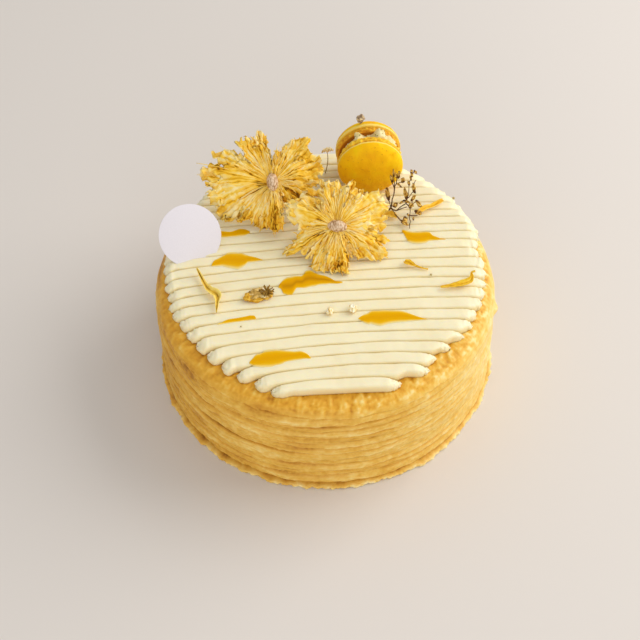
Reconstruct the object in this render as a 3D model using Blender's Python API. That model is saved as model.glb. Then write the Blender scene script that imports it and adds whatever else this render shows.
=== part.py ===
# A small mille crepe cake: a stack of crepes, piped cream, fruit puree, two dried flowers,
# a macaron, a dried sprig and a round card. Lengths are in millimetres until a mesh is made.
# The origin is on the table, under the middle of the stack; -Y is the front.

import functools
import math
import random

import bmesh
import bpy
from mathutils import Vector

MM = 0.001
GAP = 0.3  # clearance between pieces that touch

# Crepe stack
CREPE_COUNT = 13
STACK_HEIGHT = 60.0
BODY_RADIUS = 84.6
LIP_FLARE = 2.9          # the lowest crepe spreads on the table
LIP_HEIGHT = 3.4
LIP_RADIUS = 87.4
LIP_WIDEST = 1.3         # height of the lip's widest place
SHOULDER_START = 52.0
SHOULDER_DROP = 2.2
SHOULDER_RINGS = ((58.9, -1.2), (STACK_HEIGHT, -3.6))   # height, distance in from the side
BOTTOM_CREPE = 3.8       # thickness of the lowest crepe at its rim
RIM_SEGMENTS = 40
RIM_WAVE = 0.75          # how far an interface rises and falls round the rim
CREVICE = 1.1            # depth of the grooves between crepe edges
BULGE = 0.5

# Piped cream: ropes along X, numbered from the front; a groove lies between two ropes
ROPE_COUNT = 26
FRONT_EDGE = -72.4
FIRST_GROOVE = -64.1
FRONT_PITCH = 6.6
BACK_PITCH = 5.15
PITCH_CHANGE = 10        # groove where the wider front ropes end
ROPE_SLOPE = 0.072
ROPE_FAN = 0.03          # extra slope of the back ropes
FRONT_BEND = 0.0015
BACK_BEND = 0.00065
CREAM_BASE = STACK_HEIGHT + GAP
CREAM_RADIUS = 79.5
CREAM_CENTRE_Y = 4.0
LEFT_JITTER = (-0.6, 1.6)    # how far a rope's end may miss the round edge
RIGHT_JITTER = (-2.2, 0.8)
ROPE_STEP = 31.0
ROPE_END = 5.0           # length of a rope's rounded end
# A rope's end: distance from its tip, scale of its section
LEFT_END = ((0.0, 0.4), (1.8, 0.82))
RIGHT_END = ((1.8, 0.78), (0.0, 0.35))
# Half a rope's section: share of its half width, height above the base
ROPE_SECTION = ((1.0, 0.0), (1.06, 1.4), (0.5, 4.2))
ROPE_CREST = CREAM_BASE + ROPE_SECTION[2][1]

# Puree pools: groove, first x, last x, half width
PUREE_POOLS = (
    (2, -38.0, -9.0, 4.7),
    (5, 15.0, 50.0, 4.4),
    (6, -53.0, -34.0, 1.7),
    (9, -25.0, 8.0, 4.5),
    (12, -57.0, -33.0, 4.6),
    (13, 37.0, 60.0, 4.2),
    (16, -53.0, -38.0, 2.4),
)
PUREE_RISE = 0.4         # how far a pool stands over the crests in its middle
FILM = 0.4               # thickness at a pool's edge
# Along a pool: share of its length, and how far it spreads from the crest's edge to
# its full width (None where only the groove holds it)
POOL_SHAPE = ((0.0, None), (0.12, 0.0), (0.3, 0.75), (0.5, 1.0), (0.7, 0.75), (0.88, 0.0), (1.0, None))

# Macaron, standing on its rim in the cream
MACARON_RADIUS = 16.7
MACARON_CENTRE = (23.8, 56.9, 79.6)   # middle of the front dome's edge
MACARON_AXIS = (3.0, 3.0)             # elevation, and azimuth from -Y towards +X
DOME_HEIGHT = 7.6
FOOT_HEIGHT = 3.9
FILLING_HEIGHT = 3.2
MACARON_SEGMENTS = 20

# Round card, pushed into the cream
CARD_RADIUS = 15.6
CARD_THICKNESS = 0.5
CARD_CENTRE = (-66.8, 17.8, 71.9)
CARD_AXIS = (48.0, 20.0)
CARD_SEGMENTS = 30

# Dried flowers: middle of the button, and the petals as azimuth from +X in degrees,
# reach, rise at the tip, half width at the tip; the inner petals are a rule
PETAL_THICKNESS = 0.7
BACK_FLOWER = {
    "centre": (-25.6, 43.0, 81.0),
    "petals": (
        (172, 36, 6, 5.4), (152, 31, 12, 5.6), (124, 22, 17, 6.4), (91, 14, 19, 4.2),
        (57, 22, 17, 6.0), (24, 25, 8, 6.2), (357, 24, -3, 4.4), (318, 13, -9, 2.6),
        (272, 19, -13.5, 2.8), (245, 18, -13.5, 3.8), (216, 23, -13.5, 5.2), (193, 31, -10, 5.8),
    ),
}
FRONT_FLOWER = {
    "centre": (6.3, 16.5, 76.5),
    "petals": (
        (154, 25, 4, 5.0), (180, 24, -7, 5.0), (128, 23, 10, 4.8), (102, 22, 13, 4.6),
        (77, 20, 12.5, 4.4), (54, 26, 8, 5.4), (30, 30, 1, 6.2), (4, 27, -6.5, 6.0),
        (337, 27, -8.5, 5.6), (306, 19, -9.3, 4.8), (277, 16, -9.3, 3.8), (248, 18, -9.3, 4.4),
        (214, 22, -9.0, 5.0),
    ),
}
INNER_PETALS = 5
INNER_REACH = 13.0
INNER_RISE = 7.5
INNER_HALF_WIDTH = 2.6
PETAL_STATIONS = (0.06, 0.38, 0.72, 1.0)
INNER_STATIONS = (0.1, 0.55, 1.0)
PETAL_ARCH = 2.6
PETAL_PLEAT = 1.1
PETAL_POINT = 1.6        # how far a petal's middle reaches past its corners
BUTTON_RADIUS = 5.0

# Dried sprig: stems as start, end and radii; buds as place and radius
TUBE_OVERRUN = 0.2       # how far a stem runs past its ends, into what it joins
SPRIG_STEMS = (
    ((31.0, 34.5, 65.2), (34.0, 37.0, 68.0), 0.9, 0.75),
    ((34.0, 37.0, 68.0), (36.0, 43.5, 76.0), 0.75, 0.6),
    ((36.0, 43.5, 76.0), (35.0, 47.0, 82.5), 0.6, 0.4),
    ((36.0, 43.5, 76.0), (37.3, 45.7, 82.5), 0.6, 0.4),
    ((36.0, 43.5, 76.0), (40.0, 44.0, 80.6), 0.55, 0.4),
    ((34.0, 37.0, 68.0), (32.0, 42.6, 74.6), 0.6, 0.4),
    ((34.0, 37.0, 68.0), (42.0, 37.6, 71.6), 0.7, 0.55),
    ((42.0, 37.6, 71.6), (41.0, 40.6, 76.6), 0.5, 0.4),
    ((42.0, 37.6, 71.6), (43.0, 43.8, 79.6), 0.55, 0.45),
    ((43.0, 43.8, 79.6), (44.6, 46.6, 84.4), 0.45, 0.35),
    ((42.0, 37.6, 71.6), (46.0, 40.6, 76.6), 0.5, 0.4),
    ((42.0, 37.6, 71.6), (47.6, 36.6, 71.8), 0.5, 0.4),
    ((42.0, 37.6, 71.6), (43.2, 31.0, 69.6), 0.5, 0.5),
    ((43.2, 31.0, 69.6), (43.2, 26.6, 65.4), 0.5, 0.5),
    ((43.2, 31.0, 69.6), (47.2, 32.0, 69.8), 0.45, 0.4),
    ((34.0, 37.0, 68.0), (39.6, 30.4, 67.0), 0.5, 0.4),
)
SPRIG_BUDS = (
    (35.0, 47.2, 83.4, 1.3), (37.4, 45.8, 83.4, 1.4), (40.2, 44.1, 81.2, 1.5),
    (31.9, 42.9, 75.2, 1.3), (36.2, 37.8, 70.4, 1.9), (43.6, 36.2, 71.6, 2.1),
    (41.0, 40.8, 77.2, 1.6), (43.0, 44.0, 80.2, 1.4), (44.9, 46.9, 85.0, 1.4),
    (46.2, 40.8, 77.2, 1.7), (48.0, 36.5, 72.0, 1.8), (47.4, 32.4, 70.0, 1.7),
    (40.0, 29.9, 66.9, 1.9), (38.4, 40.4, 76.0, 1.3), (46.2, 38.6, 73.8, 1.3),
)

# Small loose pieces
CURLED_PETALS = {
    "petal_left": ((-61.6, 1.5, 68.0), (-57.0, -6.5, 65.4), (-53.6, -12.0, 66.6), (-52.2, -21.5, 65.4)),
    "petal_right": ((57.5, -9.0, 65.3), (64.0, -8.4, 65.6), (70.0, -7.4, 66.4), (72.0, -3.4, 68.6)),
    "petal_back": ((50.6, 37.6, 66.4), (54.0, 40.4, 65.4), (59.0, 44.2, 65.6), (63.5, 47.6, 66.4)),
}
CURLED_HALF_WIDTHS = (0.7, 1.9, 1.7, 0.6)
CURLED_THICKNESS = 0.5
CURLED_CROWN = 0.5       # how far a curled petal's middle stands over its edges
FLORET_FOOT = (-2.4, 67.6)
FLORET_TOP = (0.0, 64.6, 81.6)
FLORET_SIZES = (2.6, 1.8, 1.3)
# Lumps of dried flower: name, middle, half sizes
LUMPS = (
    ("flower_crumb", (-33.0, -12.4, 66.9), (6.8, 3.4, 1.9)),
    ("floret_front", (12.6, -24.6, 66.8), (2.0, 2.2, 1.9)),
    ("petal_bit", (42.4, 3.4, 66.2), (2.6, 1.6, 1.3)),
    ("bud_front", (2.0, -26.6, 66.3), (2.2, 1.8, 1.4)),
    ("bud_macaron", (19.4, 71.2, 98.5), (1.9, 1.9, 1.7)),
)

COLOURS = {
    "crepe": (0.80, 0.52, 0.14),
    "cream": (0.92, 0.84, 0.60),
    "puree": (0.80, 0.45, 0.01),
    "petal": (0.86, 0.60, 0.13),
    "shell": (0.82, 0.46, 0.01),
    "filling": (0.86, 0.76, 0.45),
    "sprig": (0.28, 0.15, 0.04),
    "card": (0.86, 0.85, 0.86),
    "bud": (0.62, 0.45, 0.16),
}


def clear_scene():
    for thing in list(bpy.data.objects):
        bpy.data.objects.remove(thing, do_unlink=True)


def finish_for(name, kind, roughness=0.6):
    """A plain Principled material in the piece's colour."""
    material = bpy.data.materials.new(name + "_" + kind)
    material.use_nodes = True
    shader = material.node_tree.nodes["Principled BSDF"]
    shader.inputs["Base Color"].default_value = (*COLOURS[kind], 1.0)
    shader.inputs["Roughness"].default_value = roughness
    shader.inputs["Metallic"].default_value = 0.0
    return material


def add_solid(name, points, faces, kind, roughness=0.6):
    """Make an object from points in millimetres; its faces end up pointing outwards."""
    mesh = bpy.data.meshes.new(name)
    mesh.from_pydata([Vector(p) * MM for p in points], [], faces)
    work = bmesh.new()
    work.from_mesh(mesh)
    bmesh.ops.recalc_face_normals(work, faces=work.faces[:])
    work.to_mesh(mesh)
    work.free()
    mesh.materials.append(finish_for(name, kind, roughness))
    thing = bpy.data.objects.new(name, mesh)
    bpy.context.scene.collection.objects.link(thing)
    return thing


def loft(rings, closed_ends=True, quads=False):
    """Points and faces of a skin through rings that all have the same number of points.

    The second half of a ring is split the other way, so that a thin sheet's two faces,
    lower row first and upper row back again, have the same triangles.
    """
    count = len(rings[0])
    points = [p for ring in rings for p in ring]
    faces = []
    for r in range(len(rings) - 1):
        for i in range(count):
            j = (i + 1) % count
            a, b = r * count, (r + 1) * count
            if quads:
                faces.append((a + i, a + j, b + j, b + i))
            elif i < count // 2:
                faces += [(a + i, a + j, b + j), (a + i, b + j, b + i)]
            else:
                faces += [(a + i, a + j, b + i), (a + j, b + j, b + i)]
    if closed_ends:
        faces += cap(0, count) + cap(len(points) - count, count)
    return points, faces


def cap(start, count):
    """Triangles that close a ring, from its first and last point inwards."""
    faces = []
    for i in range((count - 1) // 2):
        a, b, c, d = start + i, start + i + 1, start + count - 2 - i, start + count - 1 - i
        faces.append((a, b, d))
        if b != c:
            faces.append((b, c, d))
    return faces


def boolean(thing, operation, tools):
    """Join tools to thing, or cut them out of it, and remove the tools."""
    group = bpy.data.collections.new(thing.name + "_tools")
    for tool in tools:
        for home in list(tool.users_collection):
            home.objects.unlink(tool)
        group.objects.link(tool)
    bpy.context.scene.collection.children.link(group)
    modifier = thing.modifiers.new(operation.title(), "BOOLEAN")
    modifier.operation = operation
    modifier.operand_type = "COLLECTION"
    modifier.collection = group
    modifier.solver = "MANIFOLD"
    graph = bpy.context.evaluated_depsgraph_get()
    graph.update()
    result = bpy.data.meshes.new_from_object(thing.evaluated_get(graph))
    thing.modifiers.clear()
    result.materials.clear()
    result.materials.append(thing.data.materials[0])
    result.polygons.foreach_set("material_index", [0] * len(result.polygons))
    thing.data = result
    for tool in tools:
        bpy.data.objects.remove(tool, do_unlink=True)
    bpy.data.collections.remove(group)
    tidy_mesh(thing)


def tidy_mesh(thing):
    """Drop slivers left by a Boolean and keep the one body that matters."""
    work = bmesh.new()
    work.from_mesh(thing.data)
    bmesh.ops.triangulate(work, faces=work.faces[:])
    work.verts.ensure_lookup_table()
    unseen = set(work.verts)
    bodies = []
    while unseen:
        stack = [unseen.pop()]
        body = set(stack)
        while stack:
            for edge in stack.pop().link_edges:
                for vert in edge.verts:
                    if vert in unseen:
                        unseen.discard(vert)
                        body.add(vert)
                        stack.append(vert)
        bodies.append(body)
    largest = max(bodies, key=len)
    scraps = [v for body in bodies if body is not largest for v in body]
    if scraps:
        bmesh.ops.delete(work, geom=scraps, context="VERTS")
    work.to_mesh(thing.data)
    work.free()


def direction(elevation, azimuth):
    """Unit vector at an elevation, with the azimuth from -Y towards +X, both in degrees."""
    up, turn = math.radians(elevation), math.radians(azimuth)
    return Vector((math.sin(turn) * math.cos(up), -math.cos(turn) * math.cos(up), math.sin(up)))


def clamp(value, low, high):
    return max(low, min(high, value))


def rim_wave(rng, cycles, size):
    """A smooth random wave round the rim, as a function of the angle."""
    parts = [(c, rng.uniform(0.4, 1.0), rng.uniform(0.0, math.tau)) for c in cycles]
    total = sum(weight for _, weight, _ in parts)
    return lambda angle: size / total * sum(w * math.sin(c * angle + p) for c, w, p in parts)


def side_radius(z):
    """Radius of the stack at height z: a flared lip, a plain side, a rounded shoulder."""
    lip = LIP_FLARE * math.exp(-((z / LIP_HEIGHT) ** 2))
    climb = clamp((z - SHOULDER_START) / (STACK_HEIGHT - SHOULDER_START), 0.0, 1.0)
    return BODY_RADIUS + lip - SHOULDER_DROP * climb ** 2


def make_crepes():
    """The stack: each crepe is a disc whose wavy faces follow its neighbours' faces."""
    rng = random.Random(13)
    angles = [math.tau * i / RIM_SEGMENTS for i in range(RIM_SEGMENTS)]
    step = (STACK_HEIGHT - BOTTOM_CREPE) / (CREPE_COUNT - 1)
    levels = [0.0] + [BOTTOM_CREPE + step * k for k in range(CREPE_COUNT)]
    outline = rim_wave(rng, (2, 3), 0.5)
    waves = [rim_wave(rng, (2, 3, 5, 7, 9), RIM_WAVE) for _ in levels]
    depths = [rim_wave(rng, (3, 4, 7), 0.4) for _ in levels]
    bulges = [rim_wave(rng, (2, 5, 8), 0.45) for _ in levels]

    def interface(k, offset):
        """Ring between crepe k and the crepe above it; flat under and over the stack."""
        flat = k in (0, CREPE_COUNT)
        ring = []
        for angle in angles:
            z = levels[k] + (0.0 if flat else waves[k](angle) + offset)
            radius = side_radius(z) + outline(angle) - CREVICE + depths[k](angle)
            ring.append((radius * math.cos(angle), radius * math.sin(angle), z))
        return ring

    for k in range(CREPE_COUNT):
        bottom = interface(k, GAP / 2)
        top = interface(k + 1, -GAP / 2)
        middle = []
        for i, angle in enumerate(angles):
            z = (bottom[i][2] + top[i][2]) / 2
            radius = side_radius(z) + outline(angle) + BULGE + bulges[k](angle)
            middle.append((radius * math.cos(angle), radius * math.sin(angle), z))
        rings = [bottom, middle, top]
        if k == 0:
            # the lip is round and widest low down, on the table
            rings[1] = [(LIP_RADIUS * math.cos(a), LIP_RADIUS * math.sin(a), LIP_WIDEST) for a in angles]
        if k == CREPE_COUNT - 1:
            rings = [bottom, middle] + [shoulder_ring(angles, z, inset) for z, inset in SHOULDER_RINGS]
        points, faces = loft(rings, closed_ends=False)
        low = (0.0, 0.0, levels[k] + (0.0 if k == 0 else GAP / 2))
        high = (0.0, 0.0, levels[k + 1] - (0.0 if k == CREPE_COUNT - 1 else GAP / 2))
        base, last = len(points), (len(rings) - 1) * RIM_SEGMENTS
        points += [low, high]
        for i in range(RIM_SEGMENTS):
            j = (i + 1) % RIM_SEGMENTS
            faces.append((base, j, i))
            faces.append((base + 1, last + i, last + j))
        add_solid("crepe_%02d" % (k + 1), points, faces, "crepe", 0.55)


def shoulder_ring(angles, z, inset):
    """A ring of the top crepe's rounded shoulder."""
    radius = side_radius(z) + inset
    return [(radius * math.cos(a), radius * math.sin(a), z) for a in angles]


def groove_base(j):
    """Where groove j crosses the middle of the cake; groove -1 is the front edge."""
    if j < 0:
        return FRONT_EDGE
    return FIRST_GROOVE + FRONT_PITCH * min(j, PITCH_CHANGE) + BACK_PITCH * max(j - PITCH_CHANGE, 0)


def groove_y(j, x):
    """Groove j's own line across the cake."""
    base = groove_base(j)
    slope = ROPE_SLOPE + ROPE_FAN * clamp(base / 12.0, 0.0, 1.0)
    bend = BACK_BEND + (FRONT_BEND - BACK_BEND) * clamp(-base / 64.0, 0.0, 1.0)
    return base + slope * x - bend * x * x


def rope_middle(i, x):
    """Rope i's middle line and half width at x."""
    near, far = groove_y(i - 1, x), groove_y(i, x)
    return (near + far) / 2, (far - near) / 2


def rope_span(i, x):
    """Rope i's middle and half width at x as its flat-sided solid has them."""
    stations = [place for place, scale in rope_stations(i) if scale == 1.0]
    for start, end in zip(stations, stations[1:]):
        if start <= x <= end:
            share = (x - start) / (end - start)
            first, last = rope_middle(i, start), rope_middle(i, end)
            return tuple(a + (b - a) * share for a, b in zip(first, last))
    return rope_middle(i, x)


def cream_top(x, y):
    """Height of the piped cream's surface over a point."""
    best = CREAM_BASE
    for i in range(ROPE_COUNT):
        if abs(y - rope_middle(i, x)[0]) > FRONT_PITCH * 1.5:
            continue
        middle, half = rope_span(i, x)
        share = abs(y - middle) / half
        (_, _), (side, side_z), (crest, crest_z) = ROPE_SECTION
        if share <= crest:
            best = max(best, CREAM_BASE + crest_z)
        elif share <= side:
            drop = (share - crest) / (side - crest)
            best = max(best, CREAM_BASE + crest_z + (side_z - crest_z) * drop)
    return best


def rest_height(x, y, radius):
    """Lowest height at which a small round piece clears the cream."""
    spots = [(0.0, 0.0), (radius, 0.0), (-radius, 0.0), (0.0, radius), (0.0, -radius)]
    return max(cream_top(x + dx, y + dy) for dx, dy in spots) + GAP


def rope_tip(i, side, reach):
    """The x where rope i's end meets the round edge of the cream; side is -1 or 1."""
    x = 0.0
    for _ in range(6):
        y = rope_middle(i, x)[0] - CREAM_CENTRE_Y
        x = side * math.sqrt(max(reach ** 2 - y ** 2, 9.0))
    return x


@functools.cache
def rope_stations(i):
    """Places along rope i, from tip to tip, each with the scale of its section there."""
    rng = random.Random(100 + i)
    left = rope_tip(i, -1, CREAM_RADIUS + rng.uniform(*LEFT_JITTER))
    right = rope_tip(i, 1, CREAM_RADIUS + rng.uniform(*RIGHT_JITTER))
    length = right - left - 2 * ROPE_END
    inner = max(1, round(length / ROPE_STEP))
    stations = [(left + along, scale) for along, scale in LEFT_END]
    stations += [(left + ROPE_END + length * k / inner, 1.0) for k in range(inner + 1)]
    return stations + [(right - along, scale) for along, scale in RIGHT_END]


def rope_rings(i):
    """Sections of rope i from its left tip to its right tip, with rounded ends."""
    rings = []
    for x, scale in rope_stations(i):
        middle, half = rope_middle(i, x)
        section = [(-u, h) for u, h in ROPE_SECTION] + [(u, h) for u, h in reversed(ROPE_SECTION)]
        rings.append([(x, middle + u * half * scale, CREAM_BASE + h * scale) for u, h in section])
    return rings


def make_cream():
    """All ropes joined to one body, with room left for the macaron and the card."""
    ropes = []
    for i in range(ROPE_COUNT):
        points, faces = loft(rope_rings(i), quads=True)
        ropes.append(add_solid("rope_%02d" % i, points, faces, "cream", 0.5))
    cream = ropes[0]
    cream.name = "piped_cream"
    boolean(cream, "UNION", ropes[1:])
    boolean(cream, "DIFFERENCE", [macaron_seat(), card_slot()])
    return cream


def pool_row(groove, x, half, spread):
    """Places across a pool, one on each crest's edge where the pool passes it."""
    near_rope, far_rope = rope_span(groove, x), rope_span(groove + 1, x)
    middle = (near_rope[0] + near_rope[1] + far_rope[0] - far_rope[1]) / 2
    row = [middle]
    for side, rope in ((-1, near_rope), (1, far_rope)):
        edge = rope[1] * (1.0 - ROPE_SECTION[2][0])
        if spread is None:
            inner, outer = 0.2 * edge, 0.4 * edge
        elif spread == 0.0:
            inner, outer = 0.9 * edge, edge
        else:
            inner, outer = edge, edge + spread * clamp(half - edge, 0.1, 1.9 * edge)
        row = row + [middle + inner, middle + outer] if side > 0 else [middle - outer, middle - inner] + row
    return row


def make_puree():
    """Pools that fill a groove and spread over the two ropes beside it."""
    for number, (groove, first, last, half) in enumerate(PUREE_POOLS, start=1):
        rings = []
        for share, spread in POOL_SHAPE:
            x = first + (last - first) * share
            row = pool_row(groove, x, half, spread)
            beds = [cream_top(x, y) + 1.5 * GAP for y in row]
            level = 0.0 if spread is None else ROPE_CREST + 2 * GAP + PUREE_RISE * spread
            tops = [beds[0] + FILM] + [max(level, z + FILM) for z in beds[1:4]] + [beds[4] + FILM]
            lower = [(x, y, z) for y, z in zip(row, beds)]
            rings.append(lower + [(x, y, z) for y, z in zip(row, tops)][::-1])
        points, faces = loft(rings)
        add_solid("puree_%d" % number, points, faces, "puree", 0.3)


def revolve(profile, centre, axis, segments):
    """Points and faces of a closed turned solid; the profile is (along the axis, radius)."""
    turn = axis.to_track_quat("Z", "Y").to_matrix()
    points, faces = [], []
    for along, radius in profile:
        for i in range(segments):
            angle = math.tau * i / segments
            spot = Vector((radius * math.cos(angle), radius * math.sin(angle), along))
            points.append(Vector(centre) + turn @ spot)
    for r in range(len(profile) - 1):
        for i in range(segments):
            j = (i + 1) % segments
            a, b = r * segments, (r + 1) * segments
            faces += [(a + i, a + j, b + j), (a + i, b + j, b + i)]
    for r, (along, _) in ((0, profile[0]), (len(profile) - 1, profile[-1])):
        points.append(Vector(centre) + turn @ Vector((0.0, 0.0, along)))
        for i in range(segments):
            faces.append((len(points) - 1, r * segments + i, r * segments + (i + 1) % segments))
    return points, faces


def shell_profile(start, sign):
    """One shell from its ruffled foot to the top of its dome; sign turns it round."""
    steps = ((0.0, -0.9), (0.5, 0.1), (2.6, 0.3), (3.6, -0.5))
    profile = [(start + sign * along, MACARON_RADIUS + grow) for along, grow in steps]
    for share in (0.0, 0.33, 0.62, 0.85):
        radius = MACARON_RADIUS * (1.0 - share ** 1.5)
        along = FOOT_HEIGHT + DOME_HEIGHT * (1.0 - (radius / MACARON_RADIUS) ** 2.4) ** 0.75
        profile.append((start + sign * along, radius - 0.05))
    profile.append((start + sign * (FOOT_HEIGHT + DOME_HEIGHT * 0.995), 2.0))
    return profile


def make_macaron():
    axis = direction(*MACARON_AXIS)
    edge = Vector(MACARON_CENTRE)
    front_foot = edge - axis * FOOT_HEIGHT
    back_foot = front_foot - axis * FILLING_HEIGHT
    filling = ((GAP, 14.4), (0.9, 15.5), (FILLING_HEIGHT - 0.9, 15.5), (FILLING_HEIGHT - GAP, 14.4))
    for name, place, profile, kind in (
            ("macaron_front", front_foot, shell_profile(0.0, 1), "shell"),
            ("macaron_filling", back_foot, filling, "filling"),
            ("macaron_back", back_foot, shell_profile(0.0, -1), "shell")):
        points, faces = revolve(profile, place, axis, MACARON_SEGMENTS)
        add_solid(name, points, faces, kind, 0.65)


def macaron_seat():
    """Cutter for the hollow that the macaron stands in."""
    axis = direction(*MACARON_AXIS)
    wall = MACARON_RADIUS + 0.3 + GAP
    back = -(2 * FOOT_HEIGHT + FILLING_HEIGHT)
    profile = ((back - 3.5, wall - 2.0), (back - 1.0, wall), (1.0, wall), (3.5, wall - 2.0))
    points, faces = revolve(profile, MACARON_CENTRE, axis, MACARON_SEGMENTS * 2)
    return add_solid("macaron_seat", points, faces, "cream")


def card_solid(name, radius, thickness, segments):
    profile = ((-thickness / 2, radius), (thickness / 2, radius))
    points, faces = revolve(profile, CARD_CENTRE, direction(*CARD_AXIS), segments)
    return add_solid(name, points, faces, "card", 0.45)


def card_slot():
    """Cutter for the slot that the card stands in."""
    return card_solid("card_slot", CARD_RADIUS + GAP, CARD_THICKNESS + 2 * GAP, CARD_SEGMENTS)


def petal_rings(centre, azimuth, reach, rise, half_width, phase, stations=PETAL_STATIONS):
    """Sections of a pleated, fan-shaped petal from the button to its wide, ragged end."""
    turn = math.radians(azimuth)
    out, side = Vector((math.cos(turn), math.sin(turn), 0.0)), Vector((-math.sin(turn), math.cos(turn), 0.0))
    rings = []
    for k, share in enumerate(stations):
        arch = PETAL_ARCH * 4.0 * share * (1.0 - share)
        spot = out * reach * share + Vector((0.0, 0.0, rise * share ** 1.25 + arch))
        slope = Vector((0.0, 0.0, rise * 1.25 * share ** 0.25 + PETAL_ARCH * 4.0 * (1.0 - 2.0 * share)))
        lift = (out * reach + slope).normalized().cross(side) * -1.0
        width = half_width * (0.22 + 0.78 * share ** 0.8)
        pleat = PETAL_PLEAT * share * math.sin(phase + 2.2 * k)
        tip = PETAL_POINT if share == 1.0 else 0.0
        row = [spot - side * width, spot + out * tip + lift * pleat, spot + side * width]
        rings.append([centre + p - lift * PETAL_THICKNESS / 2 for p in row]
                     + [centre + p + lift * PETAL_THICKNESS / 2 for p in row[::-1]])
    return rings


def make_flower(name, flower):
    """A dried flower head: button, receptacle, short stem down to the cream, and petals."""
    centre = Vector(flower["centre"])
    foot = rest_height(centre.x, centre.y, 1.5) - centre.z
    button = ((-3.0, 4.4), (1.0, BUTTON_RADIUS), (3.4, BUTTON_RADIUS * 0.78), (4.6, 2.0))
    profile = ((foot, 1.4), (-7.0, 1.6)) + button
    points, faces = revolve(profile, centre, Vector((0.0, 0.0, 1.0)), 10)
    head = add_solid(name, points, faces, "petal", 0.7)
    inner = [(17 + 360 * k / INNER_PETALS, INNER_REACH, INNER_RISE, INNER_HALF_WIDTH)
             for k in range(INNER_PETALS)]
    petals = []
    for k, (azimuth, reach, rise, half_width) in enumerate(flower["petals"] + tuple(inner)):
        stations = PETAL_STATIONS if k < len(flower["petals"]) else INNER_STATIONS
        points, faces = loft(petal_rings(centre, azimuth, reach, rise, half_width, k * 1.7, stations))
        petals.append(add_solid("%s_petal_%02d" % (name, k), points, faces, "petal"))
    boolean(head, "UNION", petals)
    return head


def tube(start, end, start_radius, end_radius, sides=3):
    """Points and faces of a straight tapering stem."""
    start, end = Vector(start), Vector(end)
    along = (end - start).normalized()
    turn = along.to_track_quat("Z", "Y").to_matrix()
    rings = []
    corners = [math.tau * i / sides for i in range(sides)]
    overrun = along * TUBE_OVERRUN
    for spot, radius in ((start - overrun, start_radius), (end + overrun, end_radius)):
        rings.append([spot + turn @ Vector((math.cos(a), math.sin(a), 0.0)) * radius for a in corners])
    return loft(rings)


def ball(name, middle, sizes, kind, detail=2, rough=0.0, seed=0):
    """A faceted, slightly lumpy ball as its own object."""
    mesh = bpy.data.meshes.new(name)
    work = bmesh.new()
    bmesh.ops.create_icosphere(work, subdivisions=detail, radius=1.0)
    rng = random.Random(seed)
    for vert in work.verts:
        grow = 1.0 + rng.uniform(-rough, rough)
        vert.co = (Vector(middle) + Vector([a * b for a, b in zip(vert.co, sizes)]) * grow) * MM
    work.to_mesh(mesh)
    work.free()
    mesh.materials.append(finish_for(name, kind, 0.7))
    thing = bpy.data.objects.new(name, mesh)
    bpy.context.scene.collection.objects.link(thing)
    return thing


def make_sprig():
    pieces = []
    for k, (start, end, thick, thin) in enumerate(SPRIG_STEMS):
        points, faces = tube(start, end, thick, thin)
        pieces.append(add_solid("stem_%02d" % k, points, faces, "sprig"))
    for k, (x, y, z, radius) in enumerate(SPRIG_BUDS):
        sizes = (radius, radius, radius * 1.2)
        pieces.append(ball("sprig_bud_%02d" % k, (x, y, z), sizes, "sprig", detail=1))
    pieces[0].name = "dried_sprig"
    boolean(pieces[0], "UNION", pieces[1:])


def make_stemmed_floret():
    """A floret on a thin upright stem, standing in the cream beside the macaron."""
    foot = (*FLORET_FOOT, rest_height(*FLORET_FOOT, 0.6) + TUBE_OVERRUN)
    points, faces = tube(foot, FLORET_TOP, 0.55, 0.45, sides=5)
    floret = add_solid("floret_stem", points, faces, "bud")
    boolean(floret, "UNION", [ball("floret_head", FLORET_TOP, FLORET_SIZES, "bud", rough=0.2, seed=4)])


def make_curled_petals():
    """Thin wavy strips that lie over the ropes, both faces split alike."""
    for name, line in CURLED_PETALS.items():
        spots = [Vector(p) for p in line]
        rings = []
        for k, (spot, half) in enumerate(zip(spots, CURLED_HALF_WIDTHS)):
            ahead = spots[min(k + 1, len(spots) - 1)] - spots[max(k - 1, 0)]
            side = Vector((0.0, 0.0, 1.0)).cross(ahead).normalized()
            lift = ahead.normalized().cross(side)
            row = [spot - side * half, spot + lift * CURLED_CROWN, spot + side * half]
            up = lift * CURLED_THICKNESS / 2
            rings.append([p - up for p in row] + [p + up for p in row[::-1]])
        points, faces = loft(rings)
        add_solid(name, points, faces, "petal")


def make_lumps():
    for k, (name, middle, sizes) in enumerate(LUMPS):
        kind = "petal" if name in ("flower_crumb", "petal_bit") else "bud"
        ball(name, middle, sizes, kind, rough=0.15, seed=20 + k)


def main():
    clear_scene()
    make_crepes()
    make_cream()
    make_puree()
    make_flower("flower_back", BACK_FLOWER)
    make_flower("flower_front", FRONT_FLOWER)
    make_macaron()
    make_sprig()
    make_stemmed_floret()
    make_curled_petals()
    make_lumps()
    card_solid("card_tag", CARD_RADIUS, CARD_THICKNESS, CARD_SEGMENTS)


main()
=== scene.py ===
# A small mille crepe cake: the looks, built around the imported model.
# Settings are in millimetres and degrees; a finished mesh is in metres, in the model's own frame.

import math
import random

import bpy
from mathutils import Matrix, Vector, noise


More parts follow.
